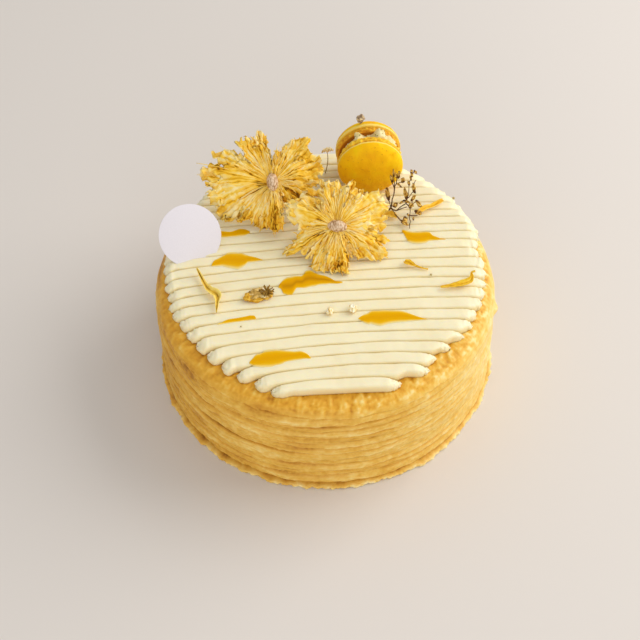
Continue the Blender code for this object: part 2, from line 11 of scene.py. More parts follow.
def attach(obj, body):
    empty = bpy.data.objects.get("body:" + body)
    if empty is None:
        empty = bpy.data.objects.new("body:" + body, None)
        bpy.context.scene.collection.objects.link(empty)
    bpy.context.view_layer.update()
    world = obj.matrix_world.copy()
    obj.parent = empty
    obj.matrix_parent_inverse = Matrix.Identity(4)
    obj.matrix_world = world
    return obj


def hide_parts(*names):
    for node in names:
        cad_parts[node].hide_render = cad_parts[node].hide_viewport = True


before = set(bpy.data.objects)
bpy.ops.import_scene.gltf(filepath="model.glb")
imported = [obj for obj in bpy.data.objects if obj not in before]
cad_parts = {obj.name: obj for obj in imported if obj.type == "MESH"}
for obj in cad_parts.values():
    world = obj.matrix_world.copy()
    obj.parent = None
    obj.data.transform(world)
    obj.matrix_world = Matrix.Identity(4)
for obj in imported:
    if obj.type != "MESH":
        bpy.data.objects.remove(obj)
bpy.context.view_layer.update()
noise.seed_set(21)  # the noise vectors are the same each run


# Small tools

def mm(value):
    return value * 0.001


def clamp(value, low, high):
    return max(low, min(high, value))


def smooth(value):  # 0 to 1 with soft ends
    value = clamp(value, 0.0, 1.0)
    return value * value * (3.0 - 2.0 * value)


def blend(a, b, share):
    return a + (b - a) * share


def bell(value):  # 1 at 0, and soft to both sides
    return math.exp(-value ** 2)


def quarterTurn(value):  # 0 to 1, steep at first and level at the end
    return math.sin(clamp(value, 0.0, 1.0) * math.pi / 2)


def turnedAway(degrees, middle):  # the shorter way round
    return (degrees - middle + 180.0) % 360.0 - 180.0


def wave(x, y, z):  # soft noise, about -0.5 to 0.5
    return noise.noise(Vector((x, y, z)))


def around(angle, radius, z):  # a point round the upright axis
    return Vector((math.cos(angle) * radius, math.sin(angle) * radius, z))


def facing(settings):  # the direction of an elevation and an azimuth, counted from the front
    up, turn = math.radians(settings["elevation"]), math.radians(settings["azimuth"])
    return around(turn - math.pi / 2, math.cos(up), math.sin(up))


def ringNoise(angle, cycles, seed):  # noise that closes round the cake
    return noise.noise(around(angle, cycles / math.tau, seed * 7.31))


def bumps(place, size, seed=0.0):  # soft lumps of about that size
    return noise.noise(Vector(place) / size + Vector((seed * 3.7, seed * 1.9, seed * 5.3)))


def linear(hexColour):  # sRGB hex to the linear colour that the nodes take
    parts = [int(hexColour[i:i + 2], 16) / 255 for i in (1, 3, 5)]
    return tuple(c / 12.92 if c <= 0.04045 else ((c + 0.055) / 1.055) ** 2.4 for c in parts) + (1.0,)


def addNode(tree, kind, settings=None, links=None):
    # one node with its settings; "stops" are a colour ramp's places and colours
    node = tree.nodes.new("ShaderNode" + kind)
    for key, value in (settings or {}).items():
        if key == "stops":
            elements = node.color_ramp.elements
            elements.remove(elements[1])
            elements[0].position = value[0][0]
            elements[0].color = linear(value[0][1])
            for place, colour in value[1:]:
                elements.new(place).color = linear(colour)
        elif isinstance(key, str) and hasattr(node, key):
            setattr(node, key, value)
        else:
            node.inputs[key].default_value = value
    for key, source in (links or {}).items():
        tree.links.new(source, node.inputs[key])
    return node


def newMaterial(name, settings):
    material = bpy.data.materials.new(name)
    material.use_nodes = True
    shader = material.node_tree.nodes["Principled BSDF"]
    for key, value in settings.items():
        shader.inputs[key].default_value = linear(value) if isinstance(value, str) else value
    return material


def newFood(name, settings):
    # a material, its nodes, and the place in metres that its patterns read
    material = newMaterial(name, settings)
    return material, material.node_tree, addNode(material.node_tree, "TexCoord").outputs["Object"]


def cover(material, colour, *reliefs):
    # the colour and the relief of a surface; a relief is its strength, its depth in metres and its source
    tree = material.node_tree
    shader = tree.nodes["Principled BSDF"]
    tree.links.new(colour, shader.inputs["Base Color"])
    links = {}
    for strength, depth, source in reliefs:
        links["Height"] = source
        bump = addNode(tree, "Bump", {"Strength": strength, "Distance": depth}, links)
        links["Normal"] = bump.outputs["Normal"]
    tree.links.new(links["Normal"], shader.inputs["Normal"])
    return material


def tonedFood(name, settings, stops, mottle, relief):
    # its colour follows the tone and a mottle: the scale and detail of that, its share, what is added
    # relief: how fine on each axis, the detail, the strength, the depth in metres
    material, tree, place = newFood(name, settings)
    value = addNode(tree, "Attribute", {"attribute_name": "tone"}).outputs["Fac"]
    if mottle:
        scale, detail, share, more = mottle
        specks = addNode(tree, "TexNoise", {"Scale": scale, "Detail": detail}, {"Vector": place})
        change = addNode(tree, "Math", {"operation": "MULTIPLY_ADD", 1: share, 2: more},
                         {0: specks.outputs["Fac"]})
        value = addNode(tree, "Math", {"operation": "ADD", "use_clamp": True},
                        {0: value, 1: change.outputs[0]}).outputs[0]
    colour = addNode(tree, "ValToRGB", {"stops": stops}, {"Fac": value})
    scale, detail, strength, depth = relief
    along = addNode(tree, "Mapping", {"Scale": scale}, {"Vector": place})
    grain = addNode(tree, "TexNoise", {"Scale": 1.0, "Detail": detail}, {"Vector": along.outputs["Vector"]})
    return cover(material, colour.outputs["Color"], (strength, depth, grain.outputs["Fac"]))


def deselectAll():
    bpy.ops.object.select_all(action="DESELECT")


def addTube(name, segments, rings):
    # a closed tube of unit radius with one ring for each unit of height, to be shaped
    deselectAll()
    bpy.ops.mesh.primitive_circle_add(vertices=segments, radius=1, fill_type="TRIFAN", location=(0, 0, 0))
    piece = bpy.context.active_object
    piece.name = name
    bpy.ops.object.mode_set(mode="EDIT")
    bpy.ops.mesh.select_all(action="SELECT")
    for _ in range(rings - 1):
        bpy.ops.mesh.extrude_region_move(TRANSFORM_OT_translate={"value": (0, 0, 1)})
    bpy.ops.mesh.select_all(action="SELECT")
    bpy.ops.mesh.normals_make_consistent(inside=False)
    bpy.ops.object.mode_set(mode="OBJECT")
    return piece


def addSheet(name, across, along):  # a flat grid from -1 to 1 both ways, to be shaped
    deselectAll()
    bpy.ops.mesh.primitive_grid_add(x_subdivisions=across, y_subdivisions=along, size=2, location=(0, 0, 0))
    piece = bpy.context.active_object
    piece.name = name
    return piece


def addBall(name, fineness):
    deselectAll()
    bpy.ops.mesh.primitive_ico_sphere_add(subdivisions=fineness, radius=1, location=(0, 0, 0))
    piece = bpy.context.active_object
    piece.name = name
    return piece


def copyOf(blank, name):
    piece = blank.copy()
    piece.data = blank.data.copy()
    piece.name = name
    bpy.context.collection.objects.link(piece)
    return piece


def discard(piece):
    bpy.data.objects.remove(piece, do_unlink=True)


def shape(piece, rule):
    # moves each vertex to the place in mm that the rule gives, and keeps the rule's tone for the material
    tones = piece.data.attributes.new("tone", "FLOAT", "POINT")
    for vertex in piece.data.vertices:
        place, tone = rule(vertex.co.copy())
        vertex.co = mm(Vector(place))
        tones.data[vertex.index].value = tone
    piece.data.update()


def tubeRule(rule):
    # a tube's rule takes the ring's number, the angle, and 1 on the skin or 0 in the middle of an end
    def place(co):
        return rule(int(round(co.z)), math.atan2(co.y, co.x) % math.tau, 1.0 if co.xy.length > 0.5 else 0.0)
    return place


def joinPieces(pieces, name):
    deselectAll()
    for piece in pieces:
        piece.select_set(True)
    bpy.context.view_layer.objects.active = pieces[0]
    bpy.ops.object.join()
    pieces[0].name = name
    return pieces[0]


def applyModifier(piece, kind, **settings):
    deselectAll()
    piece.select_set(True)
    bpy.context.view_layer.objects.active = piece
    modifier = piece.modifiers.new(kind.title(), kind)
    for key, value in settings.items():
        setattr(modifier, key, value)
    bpy.ops.object.modifier_apply(modifier=modifier.name)


def finish(piece, material, slot, *nodes):
    # the material, smooth shading, and the nodes that the piece stands for, which are hidden; slot is not
    # used
    piece.data.materials.append(material)
    piece.data.polygons.foreach_set("use_smooth", [True] * len(piece.data.polygons))
    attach(piece, "root")
    if nodes:
        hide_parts(*nodes)


# Camera and lights, at the photograph's viewing angle

view = {
    "place": (-2.94, -436.41, 579.89),
    "down": 51.8244,
    "roll": -0.9712,
    "lens": 77.04,
}


def addCamera():
    down, roll = math.radians(view["down"]), math.radians(view["roll"])
    ahead = Vector((0.0, math.cos(down), -math.sin(down)))
    across = Vector((1.0, 0.0, 0.0))
    up = across.cross(ahead)
    right = across * math.cos(roll) + up * math.sin(roll)
    top = up * math.cos(roll) - across * math.sin(roll)
    turn = Matrix((right, top, -ahead)).transposed().to_4x4()
    bpy.ops.object.camera_add()
    camera = bpy.context.active_object
    camera.matrix_world = Matrix.Translation(mm(Vector(view["place"]))) @ turn
    camera.data.lens = view["lens"]
    camera.data.sensor_width = 36
    camera.data.clip_start = 0.01
    bpy.context.scene.camera = camera


lights = {
    "window": {"place": (1100, 420, 780), "size": 1250, "power": 15.8, "colour": "#FFFBF7"},
    "fill": {"place": (-100, -950, 420), "size": 900, "power": 3.0, "colour": "#FFFCF9"},
}
studio = {
    "aim": (0, 0, 40),      # what the lights point at
    "sky": "#FFFCF8",
    "skyPower": 0.56,
    "floor": "#DFDAD5",
    "floorSide": 6000,
    "floorLevel": -0.2,
}


def addLights():
    for name, light in lights.items():
        bpy.ops.object.light_add(type="AREA")
        lamp = bpy.context.active_object
        lamp.name = name
        lamp.data.size = mm(light["size"])
        lamp.data.energy = light["power"]
        lamp.data.color = linear(light["colour"])[:3]
        place = mm(Vector(light["place"]))
        turn = (place - mm(Vector(studio["aim"]))).to_track_quat("Z", "Y").to_matrix().to_4x4()
        lamp.matrix_world = Matrix.Translation(place) @ turn
    world = bpy.data.worlds.new("studio")
    world.use_nodes = True
    sky = world.node_tree.nodes["Background"]
    sky.inputs["Color"].default_value = linear(studio["sky"])
    sky.inputs["Strength"].default_value = studio["skyPower"]
    bpy.context.scene.world = world
    bpy.context.scene.view_settings.view_transform = "Standard"


def addFloor():
    deselectAll()
    bpy.ops.mesh.primitive_plane_add(size=mm(studio["floorSide"]), location=(0, 0, mm(studio["floorLevel"])))
    floor = bpy.context.active_object
    floor.name = "floor"
    floor.data.materials.append(newMaterial("paleFloor", {"Base Color": studio["floor"], "Roughness": 0.7}))


addCamera()
addLights()
addFloor()
print("camera, lights and floor")


# Crepes: thin discs whose wavy edges sag over each other at the side

stack = {
    "count": 13,
    "height": 60.0,
    "bottom": 3.8,          # thickness of the lowest crepe
    "bodyRadius": 84.4,
    "lipFlare": 2.9,
    "lipHeight": 3.4,
    "shoulderStart": 49.0,  # the side bends over from here to the flat top
    "topRadius": 76.0,
    "shoulderPower": 2.6,
    "segments": 900,
    "rings": 17,
    "wave": 1.5,            # slow rise and fall of an edge
    "ripple": 0.6,
    "bulge": 0.7,
    "strata": 0.34,         # thin layers within an edge
    "crumbs": 0.2,
    "inner": 72.0,          # where a hidden face starts to be level
    "hiddenTone": 0.4,
    "gap": 0.02,            # between the edge of a crepe and the next
    "girth": 84.0,          # patterns round the side are measured at this radius
}
stack["step"] = (stack["height"] - stack["bottom"]) / (stack["count"] - 1)
# deep crevices: the join they follow, their two ends in degrees, how deep
deepCrevices = (
    (6, -139.0, -101.0, 2.4), (7, -108.0, -84.0, 0.9), (1, -172.0, -70.0, 1.7), (3, -95.0, -40.0, 0.6),
    (9, -165.0, -125.0, 0.9), (4, -158.0, -128.0, 1.0), (2, -75.0, -25.0, 1.1), (10, 20.0, 75.0, 1.2),
    (5, 100.0, 160.0, 1.4), (8, -40.0, 5.0, 0.5),
)
edgeBump = {"angle": -11.0, "spread": 2.6, "height": 52.5, "tall": 2.2, "out": 1.9}


def sideRadius(z):
    if z > stack["shoulderStart"]:
        climb = clamp((z - stack["shoulderStart"]) / (stack["height"] - stack["shoulderStart"]), 0.0, 1.0)
        width = stack["bodyRadius"] - stack["topRadius"]
        return stack["topRadius"] + width * (1.0 - climb ** 2) ** (1.0 / stack["shoulderPower"])
    return stack["bodyRadius"] + stack["lipFlare"] * bell(max(z, 0.0) / stack["lipHeight"])


def between(degrees, first, last):  # 1 in the middle of a stretch of the side, 0 outside it
    middle, half = (first + last) / 2, (last - first) / 2
    return max(0.0, 1.0 - (turnedAway(degrees, middle) / half) ** 2)


def paintedSideLight(angle):  # painted light and shade: the side is paler on the lit right and browner on the shaded left
    return 0.18 * math.cos(angle + 0.1) + 0.16 * max(0.0, math.cos(angle)) ** 2


def levelOf(k):  # the mean height of the join under crepe k, counted from 0
    return 0.0 if k == 0 else stack["bottom"] + stack["step"] * (k - 1)


def edgeHeight(k, angle):
    if k in (0, stack["count"]):
        return levelOf(k)
    slow = stack["wave"] * (ringNoise(angle, 7, k) + 0.7 * ringNoise(angle, 17, k + 40))
    fade = 0.4 if k == 1 else 1.0
    return levelOf(k) + fade * (slow + stack["ripple"] * ringNoise(angle, 70, k + 80))


def crevice(k, angle):  # how far the join under crepe k is drawn in
    if k in (0, stack["count"]):
        return 0.0
    if k == stack["count"] - 1:  # the top crepe hangs over this one
        return clamp(0.05 + 0.5 * ringNoise(angle, 9, 3), 0.03, 0.5)
    depth = 0.3 + 1.3 * ringNoise(angle, 11, k + 120) + 0.8 * ringNoise(angle, 37, k + 160)
    for join, first, last, deep in deepCrevices:
        if join == k:
            depth += deep * between(math.degrees(angle), first, last) ** 0.6
    return clamp(depth * (1.0 - 0.45 * max(0.0, math.cos(angle))), 0.02, 3.2)


def skinRadius(k, angle, z, share):
    # the side of crepe k: share runs from its lower join to its upper one
    under = crevice(k, angle) * (1.0 - smooth(share / 0.26))
    over = crevice(k + 1, angle) * (1.0 - smooth((1.0 - share) / 0.3))
    swell = stack["bulge"] * (0.5 + 1.3 * ringNoise(angle, 9, k + 200) + 0.5 * ringNoise(angle, 28, k + 240))
    swell *= math.sin(math.pi * clamp(share, 0.0, 1.0) ** 0.75)
    spot = around(angle, stack["girth"], z)
    # the thin layers wander up and down, so that they meet and part
    warped = z + 2.2 * noise.noise(spot / 17.0) + 0.7 * noise.noise(spot / 5.0)
    thin = wave(spot.x / 26.0, spot.y / 26.0, warped / 1.5)
    ridge = 1.0 - min(1.0, abs(wave(spot.x / 23.0, spot.y / 23.0, warped / 2.6 + 30.0)) * 6.0)
    crumb = bumps(spot, 3.0) + 0.8 * bumps(spot, 1.2, 3.0)
    radius = sideRadius(z) + 0.8 * ringNoise(angle, 5, 1) + swell - under - over
    soft = 1.0 - 0.6 * max(0.0, math.cos(angle))  # the layers merge more on the right
    radius += soft * stack["strata"] * (thin + 0.8 * ridge - 0.3) + stack["crumbs"] * crumb
    away = turnedAway(math.degrees(angle), edgeBump["angle"])
    bump = bell(away / edgeBump["spread"]) * bell((z - edgeBump["height"]) / edgeBump["tall"])
    patch = wave(spot.x / 20.0, spot.y / 20.0, z / 7.0 + 50.0)
    foot = clamp(1.0 - z / 14.0, 0.0, 1.0) * (0.5 + 0.5 * math.cos(angle))
    # the drawn-in joins are darker as painted shade and bulges that stand out are paler as painted light;
    # layers, blotches and browning are the crepes' own
    tone = 0.46 + 0.1 * swell - 0.2 * (under + over) + soft * (0.12 * thin + 0.14 * ridge) + 0.16 * crumb
    tone += paintedSideLight(angle) + 0.5 * (soft - 0.4) * patch - 0.14 * foot
    return radius + edgeBump["out"] * bump, clamp(tone, 0.0, 1.0)


def hidden(angle, skin, z):  # a point of a face inside the stack
    return around(angle, stack["inner"] * skin, z), stack["hiddenTone"]


def crepeRule(k):
    rings = stack["rings"]

    def rule(ring, angle, skin):
        low, high = edgeHeight(k, angle) + stack["gap"], edgeHeight(k + 1, angle) - stack["gap"]
        if ring in (0, rings - 1):  # the first and the last ring lie inside
            z = (low if ring == 0 else high) if skin else levelOf(k if ring == 0 else k + 1)
            return hidden(angle, skin, z)
        share = (ring - 1) / (rings - 3)
        z = blend(low, high, share)
        radius, tone = skinRadius(k, angle, z, share)
        return around(angle, radius, z), tone
    return tubeRule(rule)


lip = {
    "radius": 86.5,
    "widest": 1.3,
    "jag": 0.9,
    "top": 6.0,             # the lip falls back to the side's radius at this height
}


def lipRule():
    # the lowest crepe: its ragged edge lies on the table
    rings = stack["rings"]

    def rule(ring, angle, skin):
        high = edgeHeight(1, angle) - stack["gap"]
        if ring in (0, rings - 1):
            return hidden(angle, skin, 0.0 if ring == 0 else high if skin else stack["bottom"])
        share = (ring - 1) / (rings - 3)
        z = blend(stack["gap"], high, share ** 1.3)
        jag = lip["jag"] * (
            ringNoise(angle, 80, 5) + 0.8 * ringNoise(angle, 170, 6) + 0.8 * ringNoise(angle, 13, 7))
        outer = lip["radius"] + clamp(jag, -1.3, 0.9)
        inner = sideRadius(lip["top"]) - crevice(1, angle) + 0.8 * ringNoise(angle, 5, 1)
        low = clamp(1.0 - z / lip["widest"], 0.0, 1.0)
        fall = smooth((z - lip["widest"]) / 2.0)
        radius = blend(outer - 0.8 * (1.0 - math.sqrt(1.0 - low * low)), inner, fall)
        spot = around(angle, radius, z)
        crumb = bumps(spot, 1.7, 2.0) + 0.5 * bumps(spot, 0.9, 4.0)
        radius += 0.7 * crumb
        # the lip's tone is paler on the lit right side as painted light
        tone = 0.72 - 0.68 * fall + 0.4 * ringNoise(angle, 90, 9) + 0.3 * crumb + 0.6 * paintedSideLight(angle)
        return around(angle, radius, z), clamp(tone, 0.0, 1.0)
    return tubeRule(rule)


top = {
    "rimRings": 10,
    "brow": 56.6,           # where the hanging edge ends and the shoulder starts
    "shoulderRings": 12,
    "insets": (1.3, 2.6, 4.0, 5.5, 7.2, 9.2, 11.6, 14.6, 18.6, 24.0, 36.0),
    "arc": 10.0,            # the length over the shoulder
}


def topRule():
    k = stack["count"] - 1
    tall = stack["height"] - stack["shoulderStart"]

    def rule(ring, angle, skin):
        low = edgeHeight(k, angle) + stack["gap"]
        brow = top["brow"] + 0.6 * ringNoise(angle, 14, 30)
        if ring == 0:
            return hidden(angle, skin, low if skin else levelOf(k))
        if ring <= top["rimRings"]:
            share = (ring - 1) / (top["rimRings"] - 1)
            z = blend(low, brow, share)
            radius, tone = skinRadius(k, angle, z, share * 0.5)
            return around(angle, radius, z), tone
        step = ring - top["rimRings"]
        browLean = math.asin((brow - stack["shoulderStart"]) / tall)
        wobble, sideTone = skinRadius(k, angle, brow, 0.5)
        wobble -= sideRadius(brow)
        if step <= top["shoulderRings"]:
            bend = blend(browLean, math.pi / 2, step / top["shoulderRings"])
            z = stack["shoulderStart"] + tall * math.sin(bend)
            radius = sideRadius(z) if step < top["shoulderRings"] else stack["topRadius"]
            arc = top["arc"] * step / top["shoulderRings"]
        else:
            inset = top["insets"][step - top["shoulderRings"] - 1]
            z, radius, arc = stack["height"], stack["topRadius"] - inset, top["arc"] + inset
        fade = clamp(1.0 - arc / top["arc"], 0.0, 1.0)
        spot, length = around(angle, radius, z), angle * stack["girth"]
        streak = wave(length / 1.7, arc / 5.5, 4.0) + 0.5 * wave(length / 4.5, arc / 8.0, 14.0)
        broad = wave(length / 9.0, arc / 8.0, 9.0)
        crumb = bumps(spot, 2.4) + 0.7 * bumps(spot, 1.1, 3.0)
        on = smooth(arc / 4.0)
        lift = (0.2 * streak + 0.2 * broad + 0.28 * crumb) * on * (1.0 - smooth((arc - 24.0) / 8.0))
        crumbly = 0.34 + 0.2 * math.cos(angle)  # the margin is crumbly on the right and finer on the left
        # the margin's tone is paler on the lit right side as painted light
        tone = 0.48 + 0.26 * streak + 0.2 * broad + crumbly * crumb + 0.6 * paintedSideLight(angle)
        # painted shade, partly browning: the margin darkens inward where the ropes sit
        tone -= 0.12 * smooth((arc - top["arc"]) / 5.0)
        over = smooth(arc / top["arc"])
        radius = (radius + wobble * fade + lift * (1.0 - over)) * skin
        z += lift * over - 0.15
        return around(angle, radius, z), clamp(blend(sideTone, tone, on), 0.0, 1.0)
    return tubeRule(rule)


def bakedCrepe():
    # thin batter browned in a pan: satin skin, amber in the drawn-in creases as painted shade, pale along the
    # thin edges
    material, tree, place = newFood("bakedCrepe", {
        "Roughness": 0.5, "IOR": 1.42, "Subsurface Weight": 0.15, "Subsurface Scale": 0.002,
        "Subsurface Radius": (1.0, 0.7, 0.3)})
    tone = addNode(tree, "Attribute", {"attribute_name": "tone"}).outputs["Fac"]
    # thin layers about 25 mm long and 1.2 mm high, that wave and meet
    flat = addNode(tree, "Mapping", {"Scale": (42, 42, 800)}, {"Vector": place}).outputs["Vector"]
    strata = addNode(tree, "TexNoise", {
        "Scale": 1.0, "Detail": 5.0, "Roughness": 0.6, "Distortion": 0.7}, {"Vector": flat}).outputs["Fac"]
    away = addNode(tree, "Math", {"operation": "SUBTRACT", 1: 0.5}, {0: strata}).outputs[0]
    thin = addNode(tree, "Math", {"operation": "ABSOLUTE"}, {0: away}).outputs[0]
    line = addNode(tree, "MapRange", {"From Min": 0.0, "From Max": 0.035, "To Min": 0.04, "To Max": 0.0},
                   {"Value": thin}).outputs["Result"]
    # browner and paler blotches of about 7 mm
    blotch = addNode(tree, "TexNoise", {"Scale": 140.0, "Detail": 5.0, "Roughness": 0.65}, {"Vector": place})
    grain = addNode(tree, "TexNoise", {"Scale": 900.0, "Detail": 3.0}, {"Vector": place})
    layered = addNode(tree, "Math", {"operation": "MULTIPLY_ADD", 1: 0.24}, {0: away, 2: line})
    mottled = addNode(tree, "Math", {"operation": "MULTIPLY_ADD", 1: 0.44, 2: -0.22},
                      {0: blotch.outputs["Fac"]})
    both = addNode(tree, "Math", {"operation": "ADD"}, {0: layered.outputs[0], 1: mottled.outputs[0]})
    value = addNode(tree, "Math", {"operation": "ADD", "use_clamp": True}, {0: tone, 1: both.outputs[0]})
    side = addNode(tree, "ValToRGB", {"stops": (
        (0.0, "#A86E14"), (0.2, "#CE942A"), (0.4, "#E0AC3E"), (0.6, "#EABC54"), (0.8, "#F3D078"),
        (1.0, "#FAE4A4"))}, {"Fac": value.outputs[0]})
    crown = addNode(tree, "ValToRGB", {"stops": (
        (0.0, "#C07E12"), (0.25, "#D99A22"), (0.5, "#E8AE34"), (0.75, "#F1C458"), (1.0, "#F9DF94"))},
        {"Fac": value.outputs[0]})
    height = addNode(tree, "SeparateXYZ", {}, {"Vector": place}).outputs["Z"]
    above = addNode(tree, "MapRange", {"From Min": 0.0535, "From Max": 0.0592}, {"Value": height})
    colour = addNode(tree, "Mix", {"data_type": "RGBA"}, {
        "Factor": above.outputs["Result"], 6: side.outputs["Color"], 7: crown.outputs["Color"]})
    return cover(material, colour.outputs[2], (0.4, 0.0006, strata), (0.5, 0.0003, grain.outputs["Fac"]))


def makeCrepes():
    material = bakedCrepe()
    blank = addTube("crepeBlank", stack["segments"], stack["rings"])
    for k in range(stack["count"] - 1):
        crepe = copyOf(blank, "crepe%02d" % (k + 1))
        shape(crepe, crepeRule(k) if k else lipRule())
        finish(crepe, material, "crepe", "crepe_%02d" % (k + 1))
    discard(blank)
    rings = 1 + top["rimRings"] + top["shoulderRings"] + len(top["insets"])
    highest = addTube("crepe13", stack["segments"], rings)
    shape(highest, topRule())
    finish(highest, material, "crepe", "crepe_13")


makeCrepes()
print("crepes")


# Piped cream: flat-topped ropes along X, numbered from the front

cream = {
    "base": 60.1,
    "height": 4.3,
    "stations": 150,
    "section": 20,
    "flatness": 10.0,
    "overlap": 1.05,        # share of the pitch that a rope is wide, so that neighbours press together
    "span": 60.0,           # the length that a groove's rise and bend are given over
    "droop": 2.4,           # how far an end may sink where it reaches over the crepe's shoulder
    "skirt": 5.0,           # and how far its sides may come down there
    "stiff": 0.7,           # the ends at the front right stand out straighter
    "drawIn": 2.4,          # a rope that runs on past the one in front of it is that much narrower there
    "nose": (3.4, 5.6),     # the length over which a left end widens, from and to
    "tail": (1.4, 2.8),     # and the length over which a right end runs out
    "thinning": (5.0, 9.0),  # the length over which a right end gets lower
    "frontmost": 7,         # these ropes lean back at their ends as far as they can
    "middle": 13,           # and this one doesn't lean
}
# the front edge, and the groove behind each rope: Y at the middle, its rise and its bend over the span
grooves = (
    (-71.5, 3.0, -2.7), (-65.5, 4.9, -6.5), (-58.4, 5.5, -5.7), (-52.1, 5.7, -4.9), (-45.8, 5.3, -4.2),
    (-39.3, 4.6, -3.4), (-32.8, 4.3, -2.8), (-26.6, 4.1, -2.3), (-19.9, 4.3, -2.2), (-13.4, 4.4, -2.2),
    (-7.2, 4.5, -2.3), (-0.9, 4.6, -2.3), (5.2, 4.7, -2.1), (10.7, 4.8, -1.8), (16.4, 4.6, -1.5),
    (22.3, 4.0, -1.3), (28.0, 3.3, -1.2), (33.3, 2.8, -1.1), (38.6, 2.5, -1.1), (43.7, 2.4, -1.1),
    (48.8, 2.6, -1.1), (53.9, 2.9, -1.0), (58.8, 3.2, -1.0), (63.4, 3.4, -0.9), (68.1, 3.4, -1.0),
    (72.8, 3.4, -1.0), (77.4, 3.4, -1.0), (82.0, 3.4, -1.1),
)
# where each rope starts on the left and ends on the right
reaches = (
    (-26.2, 34.5), (-33.6, 48.0), (-42.0, 51.5), (-49.5, 58.5), (-56.3, 65.5), (-61.6, 70.0), (-66.8, 72.5),
    (-70.3, 76.0), (-74.2, 78.0), (-76.4, 79.0), (-77.2, 79.5), (-78.8, 79.0), (-79.4, 77.0), (-80.2, 76.8),
    (-80.4, 78.0), (-80.0, 78.4), (-79.0, 76.5), (-77.3, 74.2), (-74.8, 71.5), (-72.0, 68.1), (-68.7, 64.0),
    (-65.0, 59.2), (-60.8, 53.9), (-55.7, 48.1), (-49.3, 41.1), (-41.1, 32.3), (-29.5, 20.1),
)
rightTails = {0: 7.0, 1: 6.5, 2: 4.0, 3: 3.2, 4: 4.6, 5: 3.2, 9: 5.5}  # the ropes that end in a longer point


def grooveY(j, x):
    middle, rise, bend = grooves[j]
    share = x / cream["span"]
    wobble = 0.3 * wave(x / 18.0, j * 3.3, 2.0)
    return middle + rise * share + bend * share * share + wobble


def ropeMiddle(i, x):
    near, far = grooveY(i, x), grooveY(i + 1, x)
    return (near + far) / 2, (far - near) / 2


def creamHeight(x, y):  # the top of the ropes over a point
    best = cream["base"]
    for i in range(len(reaches)):
        middle, half = ropeMiddle(i, x)
        share = abs(y - middle) / (half * cream["overlap"])
        if share < 1.0:
            best = max(best, cream["base"] + cream["height"] * math.sqrt(1.0 - share ** cream["flatness"]))
    return best


def shoulderDrop(x, y):  # how far the crepe under a point lies below the flat top
    width = stack["bodyRadius"] - stack["topRadius"]
    out = clamp((math.hypot(x, y) - stack["topRadius"]) / width, 0.0, 1.0)
    return (stack["height"] - stack["shoulderStart"]) * (1.0 - math.sqrt(1.0 - out ** stack["shoulderPower"]))


